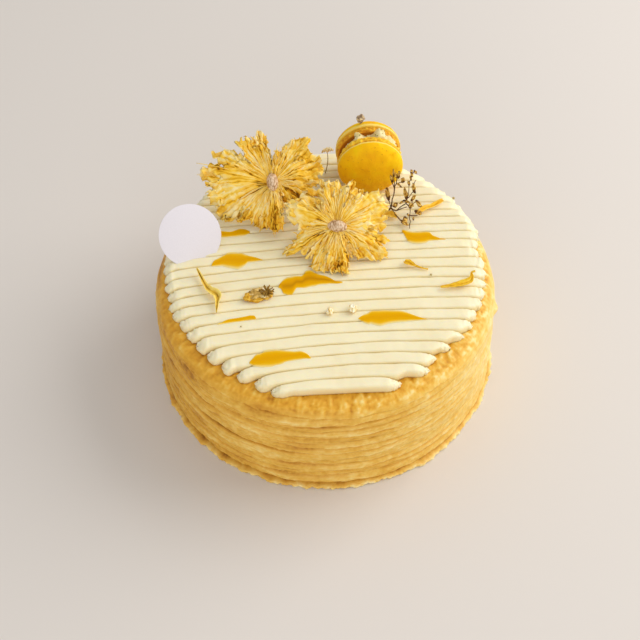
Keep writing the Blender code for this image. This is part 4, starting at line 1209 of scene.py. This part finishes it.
def shellRule(shell):
    # along the axis: from the filling side of the foot to the top of the dome
    seed, radius, foot, rings = shell["seed"], macaron["radius"], shell["foot"], macaron["rings"]
    footStart, footEnd = macaron["footStart"], macaron["footEnd"]
    front = shell["side"] > 0.0

    def rule(ring, angle, skin):
        t = ring / (rings - 1)
        tone = 0.0
        if t < footStart:  # the flat side against the filling, dark with painted shade in the gap between the shells
            depth, r = -foot, blend(radius - 6.0, radius - 1.4, t / footStart)
        elif t < footEnd:  # the frilly foot
            s = (t - footStart) / (footEnd - footStart)
            bow = math.sin(math.pi * s)
            depth = -foot + s * foot * 0.92
            ruffle = ringNoise(angle, 34, seed) + 0.9 * ringNoise(angle, 90, seed + 1)
            pits = bumps(around(angle, radius, depth), 1.1, seed)
            groove = bell((s - 1.0) / 0.16)
            r = radius - 1.2 + 0.75 * bow ** 0.6 + (0.8 * ruffle + 1.1 * pits) * bow ** 0.5 - 1.3 * groove
            dots = clamp(0.5 + 1.6 * ringNoise(angle, 60, seed + 5), 0.0, 1.0)
            left = smooth(0.3 - 1.2 * math.cos(angle))  # painted shade: the groove is darker on the shaded left
            # painted shade: the groove under the dome's rim is darker in dots, and the back shell's foot is
            # darker as a whole
            tone = 0.28 + 0.2 * pits + 0.08 * ruffle - groove * (0.1 + 0.3 * dots * left) - shell["darker"]
        else:
            s = (t - footEnd) / (1.0 - footEnd)
            tone = 0.48 if s < 0.13 else 0.75  # a thin pale rim round the dome, a painted highlight
            latitude = (s - 0.08) * math.pi / 2 / 0.92
            depth = shell["dome"] * max(0.0, math.sin(latitude)) ** (shell["full"] + 0.06) - 0.35 * (1 - s)
            r = radius * max(0.0, math.cos(latitude)) ** shell["full"]
            r *= 1.0 + 0.012 * ringNoise(angle, 3, seed)
        r = (r if ring < rings - 1 else 0.25) * skin
        if t > footEnd:
            spot = around(angle, r, seed)
            depth += 0.26 * bumps(spot, 3.2) + 0.14 * bumps(spot, 1.0)
            if front:
                depth -= 0.9 * bell((spot.xy - Vector(macaron["pit"])).length / 1.1)
        depth = depth * shell["side"] - shell["behind"]
        return onMacaron(depth, r, angle, shell["slip"]), clamp(tone, 0.0, 1.0)
    return tubeRule(rule)


def fillingPoint(angle, s):
    # the place along the axis and the radius; s runs from -1 at the back shell to 1 at the front one
    r = macaron["radius"] - 4.8 + 0.9 * math.sqrt(max(0.0, 1.0 - s * s * 0.95))
    for lump in macaron["lumps"]:
        r += lump["out"] * math.exp(-((math.degrees(angle) - lump["angle"]) / lump["spread"]) ** 4)
    r += 0.9 * ringNoise(angle, 16, 4) + 1.1 * wave(angle * 14.0, s * 2.0, 6.0)
    return -shells["macaronFront"]["foot"] + macaron["filling"] / 2 * (s - 1.0), r


def fillingRule():
    def rule(ring, angle, skin):
        s = ring / (macaron["fillingRings"] - 1) * 2.0 - 1.0
        depth, r = fillingPoint(angle, s)
        return onMacaron(depth + 0.5 * s, r * skin, angle), 0.5
    return tubeRule(rule)


def macaronShell():
    # baked almond meringue: matte, slightly porous, paler on the foot
    material, tree, place = newFood("almondMeringue", {
        "Roughness": 0.65, "IOR": 1.4, "Specular IOR Level": 0.25, "Subsurface Weight": 0.1,
        "Subsurface Scale": 0.002, "Subsurface Radius": (1.0, 0.6, 0.1)})
    tone = addNode(tree, "Attribute", {"attribute_name": "tone"}).outputs["Fac"]
    crumbs = addNode(tree, "TexNoise", {"Scale": 700.0, "Detail": 4.0, "Roughness": 0.7}, {"Vector": place})
    cloud = addNode(tree, "TexNoise", {"Scale": 110.0, "Detail": 3.0}, {"Vector": place})
    shell = addNode(tree, "ValToRGB", {"stops": (
        (0.3, "#F6B400"), (0.5, "#FFC400"), (0.7, "#FFD200"))}, {"Fac": cloud.outputs["Fac"]})
    speck = addNode(tree, "MapRange", {"From Min": 0.62, "From Max": 0.7}, {"Value": crumbs.outputs["Fac"]})
    speckled = addNode(tree, "Mix", {"data_type": "RGBA", 7: linear("#B9700F")}, {
        "Factor": speck.outputs["Result"], 6: shell.outputs["Color"]})
    # the foot's ramp: its dark end is painted shade on the flat side, in the groove and on the back shell,
    # and its pale end the painted highlight round the dome
    foot = addNode(tree, "ValToRGB", {"stops": (
        (0.0, "#B06A0C"), (0.1, "#D88A14"), (0.2, "#EDB02A"), (0.32, "#FACB30"), (0.48, "#FFE070"))},
        {"Fac": tone})
    onDome = addNode(tree, "MapRange", {"From Min": 0.5, "From Max": 0.6}, {"Value": tone})
    colour = addNode(tree, "Mix", {"data_type": "RGBA"}, {
        "Factor": onDome.outputs["Result"], 6: foot.outputs["Color"], 7: speckled.outputs[2]})
    return cover(material, colour.outputs[2], (0.4, 0.0003, crumbs.outputs["Fac"]))


def plainFood(name, colour, darker, roughness, scale=300.0, depth=0.0003):
    material, tree, place = newFood(name, {"Roughness": roughness, "IOR": 1.4})
    lumps = addNode(tree, "TexNoise", {"Scale": scale, "Detail": 4.0}, {"Vector": place}).outputs["Fac"]
    ramp = addNode(tree, "ValToRGB", {"stops": ((0.32, darker), (0.62, colour))}, {"Fac": lumps})
    return cover(material, ramp.outputs["Color"], (0.6, depth, lumps))


def makeMacaron():
    shellFinish = macaronShell()
    blank = addTube("shellBlank", macaron["segments"], macaron["rings"])
    for name, shell in shells.items():
        piece = copyOf(blank, name)
        shape(piece, shellRule(shell))
        if shell["side"] < 0.0:
            piece.data.flip_normals()
        finish(piece, shellFinish, "shell", shell["node"])
    discard(blank)
    filling = addTube("macaronFilling", macaron["segments"], macaron["fillingRings"])
    shape(filling, fillingRule())
    # butter cream with grated peel: pale and soft
    finish(filling, plainFood("butterCream", "#F7E9B6", "#EFD98E", 0.5), "filling", "macaron_filling")
    # green herb flecks on the filling's rim, at the left and the right of the top
    rng = random.Random(77)
    ball = addBall("fleckBlank", 2)
    flecks = []
    for lump, count in zip(macaron["lumps"], macaron["flecks"]):
        for _ in range(count):
            angle = math.radians(lump["angle"] + lump["spread"] * rng.uniform(-0.9, 0.9))
            depth, r = fillingPoint(angle, rng.uniform(-0.8, 0.8))
            size, turn = rng.uniform(0.3, 0.6), rng.uniform(0, 3)
            spot = onMacaron(depth, r + 0.15, angle)
            stretch = Matrix.Rotation(turn, 3, "Z") @ Matrix.Diagonal((1.0, 0.55, 0.35)) * size
            fleck = copyOf(ball, "fleck")
            shape(fleck, lambda co: (spot + (stretch @ co) * (1.0 + 0.5 * bumps(co, 0.8, turn)), 0.5))
            flecks.append(fleck)
    discard(ball)
    # dried herb, chopped: dull green
    finish(joinPieces(flecks, "herbFlecks"), plainFood("driedHerb", "#AEAA64", "#7C7E3E", 0.8),
           "filling", "macaron_filling")


makeMacaron()
print("macaron")


# Dried sprig, buds and florets

sprig = {
    "stems": (  # from, to, radius at both
        ((31.7, 36.4, 65.2), (34.0, 37.2, 68.4), 0.5, 0.42),
        ((34.0, 37.2, 68.4), (34.6, 39.1, 73.0), 0.36, 0.3),
        ((34.6, 39.1, 73.0), (35.7, 41.6, 78.0), 0.3, 0.36),
        ((35.7, 41.6, 78.0), (34.5, 43.8, 80.5), 0.28, 0.2),
        ((35.7, 41.6, 78.0), (36.6, 42.8, 80.0), 0.36, 0.26),
        ((36.6, 42.8, 80.0), (37.3, 44.7, 82.6), 0.24, 0.2),
        ((35.7, 41.6, 78.0), (35.3, 45.7, 82.5), 0.24, 0.18),
        ((36.6, 42.8, 80.0), (40.0, 43.3, 81.2), 0.2, 0.16),
        ((34.0, 37.2, 68.4), (33.0, 40.1, 71.6), 0.26, 0.22),
        ((34.0, 37.2, 68.4), (36.7, 35.1, 68.6), 0.4, 0.3),
        ((36.7, 35.1, 68.6), (42.0, 36.0, 70.4), 0.26, 0.22),
        ((36.7, 35.1, 68.6), (41.5, 36.9, 71.8), 0.24, 0.26),
        ((41.5, 36.9, 71.8), (43.4, 35.2, 71.2), 0.26, 0.26),
        ((41.5, 36.9, 71.8), (41.8, 38.4, 73.6), 0.34, 0.3),
        ((41.8, 38.4, 73.6), (44.0, 39.8, 75.4), 0.24, 0.2),
        ((44.0, 39.8, 75.4), (45.8, 40.6, 77.4), 0.2, 0.18),
        ((42.3, 38.7, 74.0), (42.9, 42.0, 80.0), 0.18, 0.16),
        ((43.0, 43.1, 81.0), (44.2, 44.5, 83.8), 0.24, 0.2),
        ((44.2, 44.5, 83.8), (44.2, 46.0, 85.2), 0.26, 0.22),
        ((44.2, 44.5, 83.8), (45.7, 45.7, 85.8), 0.18, 0.18),
        ((46.5, 43.4, 82.0), (45.7, 42.7, 79.6), 0.16, 0.16),
        ((44.0, 35.7, 72.0), (44.5, 37.4, 74.2), 0.2, 0.16),
        ((44.0, 35.7, 72.0), (46.6, 37.6, 72.6), 0.2, 0.18),
        ((41.9, 31.8, 69.2), (47.1, 30.9, 69.4), 0.36, 0.24),
        ((43.4, 34.9, 71.0), (43.0, 30.8, 69.2), 0.18, 0.18),
        ((43.0, 30.8, 69.2), (43.6, 29.2, 67.2), 0.22, 0.2),
        ((43.6, 29.2, 67.2), (43.1, 26.2, 64.8), 0.2, 0.18),
        ((35.9, 33.7, 67.4), (38.6, 29.6, 67.2), 0.22, 0.34),
        ((34.0, 37.0, 68.2), (35.9, 33.7, 67.4), 0.16, 0.2),
    ),
    "buds": (  # the dark end, the other end, half width
        ((34.5, 43.8, 80.5), (34.0, 46.4, 82.5), 0.75), ((35.3, 45.7, 82.5), (35.2, 47.8, 85.0), 0.45),
        ((37.0, 44.6, 82.5), (36.1, 46.1, 84.2), 0.7), ((37.7, 44.6, 82.8), (38.3, 46.6, 85.0), 0.7),
        ((40.0, 43.0, 80.8), (39.8, 44.6, 82.3), 0.95), ((39.0, 41.6, 79.0), (37.2, 43.1, 80.2), 0.5),
        ((33.0, 40.0, 71.5), (32.1, 44.6, 75.0), 1.1), ((35.6, 36.4, 70.0), (36.7, 37.4, 71.8), 1.15),
        ((41.7, 38.5, 73.5), (40.9, 41.6, 77.5), 0.9), ((40.6, 38.1, 72.8), (43.0, 37.0, 72.6), 0.7),
        ((45.8, 40.1, 77.0), (45.0, 42.8, 79.8), 0.9), ((43.1, 42.0, 80.0), (42.6, 43.3, 81.2), 0.6),
        ((44.1, 43.5, 82.0), (43.5, 44.6, 83.4), 0.45), ((44.2, 44.2, 83.6), (44.6, 45.4, 84.8), 0.6),
        ((44.0, 45.6, 85.0), (44.4, 46.6, 86.0), 0.65), ((45.6, 46.1, 86.0), (46.6, 45.0, 85.4), 0.6),
        ((44.1, 36.9, 74.0), (46.0, 38.4, 76.0), 0.8), ((43.2, 34.9, 71.0), (44.8, 35.8, 72.8), 1.15),
        ((46.6, 37.9, 72.8), (48.9, 34.6, 72.0), 0.95), ((39.9, 37.8, 73.0), (38.5, 36.4, 72.4), 0.5),
        ((46.0, 33.1, 70.3), (48.9, 32.2, 69.6), 1.1), ((38.8, 29.8, 67.0), (41.9, 27.1, 66.6), 0.9),
        ((40.8, 31.0, 68.3), (41.0, 28.1, 67.0), 1.1), ((45.2, 31.4, 65.6), (45.2, 32.3, 66.2), 0.45),
        ((42.1, 32.2, 69.3), (42.7, 30.9, 69.2), 0.5),
    ),
}


stems = {
    "sides": 8,
    "rings": 12,
}


def stemPiece(blank, name, start, end, foot, tip, sway, seed=0.0):
    # a thin stem between two points, bent a little; foot and tip are its radius there
    start, end = Vector(start), Vector(end)
    way = end - start
    side = way.orthogonal().normalized()
    other = way.cross(side).normalized()
    bend = sway * (side * math.sin(seed) + other * math.cos(seed))
    stem = copyOf(blank, name)

    def rule(ring, angle, skin):
        t = ring / (stems["rings"] - 1)
        radius = blend(foot, tip, t) * (1.0 + 0.25 * wave(t * 6.0, seed, 1.0)) * skin
        out = side * math.cos(angle) + other * math.sin(angle)
        return start + way * t + bend * math.sin(math.pi * t) + out * radius, 0.2 + 0.3 * t
    shape(stem, tubeRule(rule))
    return stem


def budPiece(blank, name, middle, sizes, seed, ridges=7, depth=0.22, tip=0.0, ahead=(0, 0, 1), cup=0.0):
    # a dried bud: a small ball drawn in by creases from top to bottom, sometimes open at the top
    turn = Vector(ahead).to_track_quat("Z", "Y").to_matrix()
    bud = copyOf(blank, name)

    def rule(co):
        angle = math.atan2(co.y, co.x)
        crease = math.cos(ridges * angle + seed + 1.3 * co.z) * (1.0 - abs(co.z) ** 3)
        grow = 1.0 + depth * (0.4 * crease + 1.6 * bumps(co, 0.55, seed))
        place = co * Vector(sizes) * grow
        place.z += tip * max(0.0, co.z) ** 4
        inner = bell(co.xy.length / 0.55) if co.z > 0.0 else 0.0
        place.z -= cup * sizes[2] * inner
        tone = 0.5 + 0.1 * crease + 0.7 * bumps(co, 0.5, seed + 4) - 0.7 * smooth((-co.z - 0.1) / 0.7)
        tone += (0.4 if cup else -0.3) * inner
        return Vector(middle) + turn @ place, clamp(tone, 0.0, 1.0)
    shape(bud, rule)
    return bud


def driedBud(name, dark, mid, light):
    # shrivelled flower bud: dull, creased, dark where it is folded
    return tonedFood(name, {"Roughness": 0.72, "IOR": 1.4}, ((0.35, dark), (0.7, mid), (1.0, light)),
                     (900.0, 3.0, 0.5, 0.0), ((900, 900, 900), 3.0, 0.6, 0.0003))


singleBuds = {  # name: node, middle, half sizes, creases, seed, how far the top is open
    "floretFront": ("floret_front", (13.0, -25.4, 66.2), (1.9, 2.2, 1.6), 9, 11, 0.7),
    "budFront": ("bud_front", (1.7, -26.8, 65.8), (1.7, 1.9, 1.3), 5, 8, 0.0),
    "budMacaron": ("bud_macaron", (19.4, 72.0, 97.5), (1.9, 1.9, 1.7), 5, 10, 0.0),
}
floretHeads = (  # place, half sizes, direction
    ((2.1, 64.6, 83.4), (1.2, 0.9, 1.0), (-0.4, 0, 1)), ((0.7, 64.8, 82.8), (1.1, 0.8, 0.7), (-1, 0, 0.2)),
    ((3.6, 64.4, 84.0), (1.1, 0.8, 0.8), (1, 0, 0.6)), ((-0.2, 65.0, 81.6), (0.5, 0.4, 0.9), (-0.3, 0, -1)),
    ((4.8, 64.3, 83.6), (0.7, 0.5, 0.6), (1, 0, -0.2)),
)
tinyCrumbs = ((66.6, 46.6, 64.9, 0.7), (51.9, -4.1, 64.5, 0.55), (-40.7, -34.4, 64.5, 0.4))


def makeSprig():
    stemFinish = driedBud("driedStem", "#4E3010", "#6E481C", "#946A30")
    budFinish = driedBud("driedBud", "#5C3608", "#C08A24", "#EECB6C")
    floretFinish = driedBud("driedFloret", "#E8C478", "#FBE8B2", "#FFFAE2")
    greyFinish = driedBud("driedCalyx", "#8A6E50", "#B49A78", "#E6D098")
    paleStem = driedBud("palerStem", "#94804A", "#BCA668", "#DCCA90")
    tube, ball = addTube("stemBlank", stems["sides"], stems["rings"]), addBall("budBlank", 4)
    pieces = [stemPiece(tube, "stem%02d" % k, *ends, 0.3, k * 1.3) for k, ends in enumerate(sprig["stems"])]
    finish(joinPieces(pieces, "sprigStems"), stemFinish, "sprig", "dried_sprig")
    pieces = []
    for k, (start, end, half) in enumerate(sprig["buds"]):
        start, end = Vector(start), Vector(end)
        middle, ahead = (start + end) / 2, end - start
        sizes = (half, half, ahead.length / 2 + 0.25)
        pieces.append(budPiece(ball, "bud%02d" % k, middle, sizes, k * 2.1, 5, 0.3, ahead=ahead))
    finish(joinPieces(pieces, "sprigBuds"), budFinish, "sprig", "dried_sprig")
    for name, (node, middle, sizes, ridges, seed, cup) in singleBuds.items():
        piece = budPiece(ball, name, middle, sizes, seed, ridges, 0.34, tip=0.3, cup=cup)
        finish(piece, greyFinish if name == "budMacaron" else floretFinish, "bud", node)
    # its short stalk stands in the back shell
    piece = stemPiece(tube, "budStalk", (19.4, 72.8, 92.0), (19.4, 72.0, 97.0), 0.55, 0.5, 0.1)
    finish(piece, greyFinish, "bud", "bud_macaron")
    piece = stemPiece(tube, "floretStem", (1.0, 66.6, 63.8), (2.2, 64.6, 82.6), 0.28, 0.2, 0.9, 2.0)
    finish(piece, paleStem, "bud", "floret_stem")
    pieces = [budPiece(ball, "floretHead%d" % k, place, size, 3.0 + k, 7, 0.4, ahead=ahead)
              for k, (place, size, ahead) in enumerate(floretHeads)]
    finish(joinPieces(pieces, "floretHead"), floretFinish, "bud", "floret_stem")
    pieces = [budPiece(ball, "tinyBud%d" % k, (x, y, z), (r, r, 0.9 * r), 8.0 + k, 4)
              for k, (x, y, z, r) in enumerate(tinyCrumbs)]
    finish(joinPieces(pieces, "tinyBuds"), paleStem, "bud")
    discard(tube)
    discard(ball)


makeSprig()
print("sprig, buds and florets")


# Loose petals and the torn flower piece

# name: node, points from end to end, half widths there, how much the edges stand up, tone in the middle and
# at the edges
strips = {
    "petalLeft": ("petal_left", (
        (-63.0, -0.2, 67.6), (-60.8, -4.7, 66.4), (-58.7, -9.2, 66.0), (-56.6, -12.4, 66.2),
        (-54.1, -14.7, 66.6), (-52.3, -16.9, 66.8), (-52.4, -21.3, 66.2), (-52.5, -26.2, 65.6)),
        (0.35, 0.8, 1.0, 1.7, 2.2, 2.0, 0.9, 0.3), 1.0, (0.24, 1.0)),
    "petalRight": ("petal_right", (
        (56.0, -12.6, 65.4), (60.0, -12.6, 65.7), (63.4, -12.0, 66.0), (66.9, -11.3, 66.3),
        (69.9, -10.2, 66.6), (71.4, -8.4, 67.0), (71.4, -6.2, 67.8), (73.2, -5.6, 68.4)),
        (0.25, 0.9, 1.5, 1.9, 1.9, 1.0, 0.4, 0.25), 0.9, (0.44, 0.5)),
    "petalBack": ("petal_back", (
        (47.7, 35.4, 66.6), (51.5, 38.8, 66.2), (54.6, 40.1, 65.9), (57.8, 42.1, 65.9), (61.0, 44.2, 66.2)),
        (0.8, 1.5, 1.2, 1.3, 0.7), 0.7, (0.32, 0.62)),
    "petalBit": ("petal_bit", (
        (39.4, 3.8, 66.0), (40.9, 2.7, 66.2), (42.8, 1.6, 66.1), (44.8, 0.8, 65.7), (47.7, -0.3, 65.3),
        (50.6, -1.0, 65.1)),
        (1.3, 2.0, 1.3, 0.5, 0.25, 0.15), 0.7, (0.34, 0.44)),
    "petalFoot": ("dried_sprig", (
        (30.2, 34.0, 65.6), (32.4, 34.9, 66.2), (34.5, 34.3, 66.6), (36.9, 32.9, 66.0)),
        (0.9, 1.9, 1.9, 0.8), 0.8, (0.3, 0.6)),
}


def stripRule(points, widths, cup, tones, seed):
    spans = len(widths) - 1

    def rule(co):
        c, t = co.x, (co.y + 1.0) / 2.0
        ahead = along(points, min(1.0, t + 0.02)) - along(points, max(0.0, t - 0.02))
        side = Vector((0, 0, 1)).cross(ahead).normalized()
        k = min(int(t * spans), spans - 1)
        width = blend(widths[k], widths[k + 1], smooth(t * spans - k)) * (1.0 + 0.15 * wave(c, t * 5.0, seed))
        fold = 0.3 * math.cos(c * 6.0 + seed) + 0.4 * wave(c * 2.0, t * 5.0, seed + 2)
        place = along(points, t) + side * (c * width)
        place.z = max(place.z + cup * (abs(c) ** 1.6 - 0.3) + fold, petals["lowest"] + 0.1)
        tone = blend(*tones, abs(c)) + 0.3 * wave(c * 3.0, t * 5.0, seed + 5)
        return place, clamp(tone, 0.0, 1.0)
    return rule


loose = {
    "grid": (12, 40),
    "thickness": 0.25,
}
tornFlower = {  # middles and half sizes
    "stump": (((-37.6, -17.4, 65.7), (2.2, 2.2, 1.5)), ((-33.6, -18.6, 65.3), (3.4, 1.4, 1.2)),
              ((-28.8, -15.8, 65.4), (3.2, 2.5, 0.9))),
    "body": ((-33.2, -15.6, 65.9), (4.3, 2.9, 1.6)),
    "star": (-28.4, -15.8, 67.0),
    "reach": 4.1,
    "points": 17,
    "sepal": (0.15, 0.22, 0.06),
    "thickness": 0.3,
}


def makeLoosePetals():
    blank, ball = addSheet("stripBlank", *loose["grid"]), addBall("tornBlank", 4)
    lined = driedBud("linedPetal", "#6C5412", "#E8B82C", "#FFE67C")  # olive along the middle
    golden = driedBud("goldenPetal", "#C48C14", "#F8C822", "#FFE262")
    finishes = {"petalLeft": lined, "petalRight": golden, "petalBit": golden}
    for k, (name, (node, points, widths, cup, tones)) in enumerate(strips.items()):
        piece = copyOf(blank, name)
        shape(piece, stripRule(points, widths, cup, tones, k * 3.1 + 1.0))
        applyModifier(piece, "SOLIDIFY", thickness=mm(loose["thickness"]), offset=0.0)
        finish(piece, finishes.get(name, petalFinish), "petal", node)
    # the torn flower piece: a golden stump, a mottled body and a dark star of sepals
    stumps = [budPiece(ball, "crumbStump%d" % k, middle, sizes, 5.0 + k, 4, 0.25)
              for k, (middle, sizes) in enumerate(tornFlower["stump"])]
    finish(joinPieces(stumps, "crumbStump"), driedBud("driedPetalBase", "#C08A14", "#DDA824", "#EFC24E"),
           "petal", "flower_crumb")
    body = budPiece(ball, "crumbBody", *tornFlower["body"], 3.0, 23, 0.42)
    finish(body, driedBud("tornPetals", "#A8823A", "#E4BC62", "#FCEAB0"), "petal", "flower_crumb")
    rng = random.Random(9)
    centre = Vector(tornFlower["star"])
    sepals = []
    for k in range(tornFlower["points"]):
        turn = math.tau * k / tornFlower["points"] + rng.uniform(-0.2, 0.2)
        length = tornFlower["reach"] * rng.uniform(0.7, 1.05)
        tip = centre + around(turn, length, rng.uniform(0.4, 2.0))
        bend = centre + around(turn, length * 0.5, rng.uniform(0.3, 1.4))
        sepal = copyOf(blank, "sepal%02d" % k)
        shape(sepal, stripRule((centre, bend, tip), tornFlower["sepal"], 0.2, (0.1, 0.4), k * 2.2))
        sepals.append(sepal)
    star = joinPieces(sepals, "crumbStar")
    applyModifier(star, "SOLIDIFY", thickness=mm(tornFlower["thickness"]), offset=0.0)
    finish(star, driedBud("driedSepal", "#5C4010", "#B4882A", "#F0CA6C"), "petal", "flower_crumb")
    discard(blank)
    discard(ball)


makeLoosePetals()
print("loose petals")


# The round card, bare

card = {
    "centre": (-66.8, 17.8, 71.9),
    "elevation": 48.0,
    "azimuth": 20.0,
    "radius": 15.6,
    "thickness": 0.5,
    "edge": 0.09,
    "segments": 128,
    "bend": 0.0016,         # how much its sides curl forward, for each square millimetre
    "smoothAngle": 35.0,
}


def makeCard():
    turn = facing(card).to_track_quat("Z", "Y").to_matrix()
    deselectAll()
    bpy.ops.mesh.primitive_cylinder_add(
        vertices=card["segments"], radius=card["radius"], depth=card["thickness"], location=(0, 0, 0))
    piece = bpy.context.active_object
    piece.name = "card"
    applyModifier(piece, "BEVEL", width=card["edge"], segments=3, limit_method="ANGLE")
    bend = Vector((0, 0, card["bend"]))
    shape(piece, lambda co: (Vector(card["centre"]) + turn @ (co + bend * co.x ** 2), 0.5))
    # coated paper board: smooth, faintly cool white
    finish(piece, plainFood("coatedPaper", "#EAE6ED", "#E6E2E9", 0.5, 2500.0, 0.00001), "card", "card_tag")
    bpy.ops.object.shade_smooth_by_angle(angle=math.radians(card["smoothAngle"]))


makeCard()
print("card")
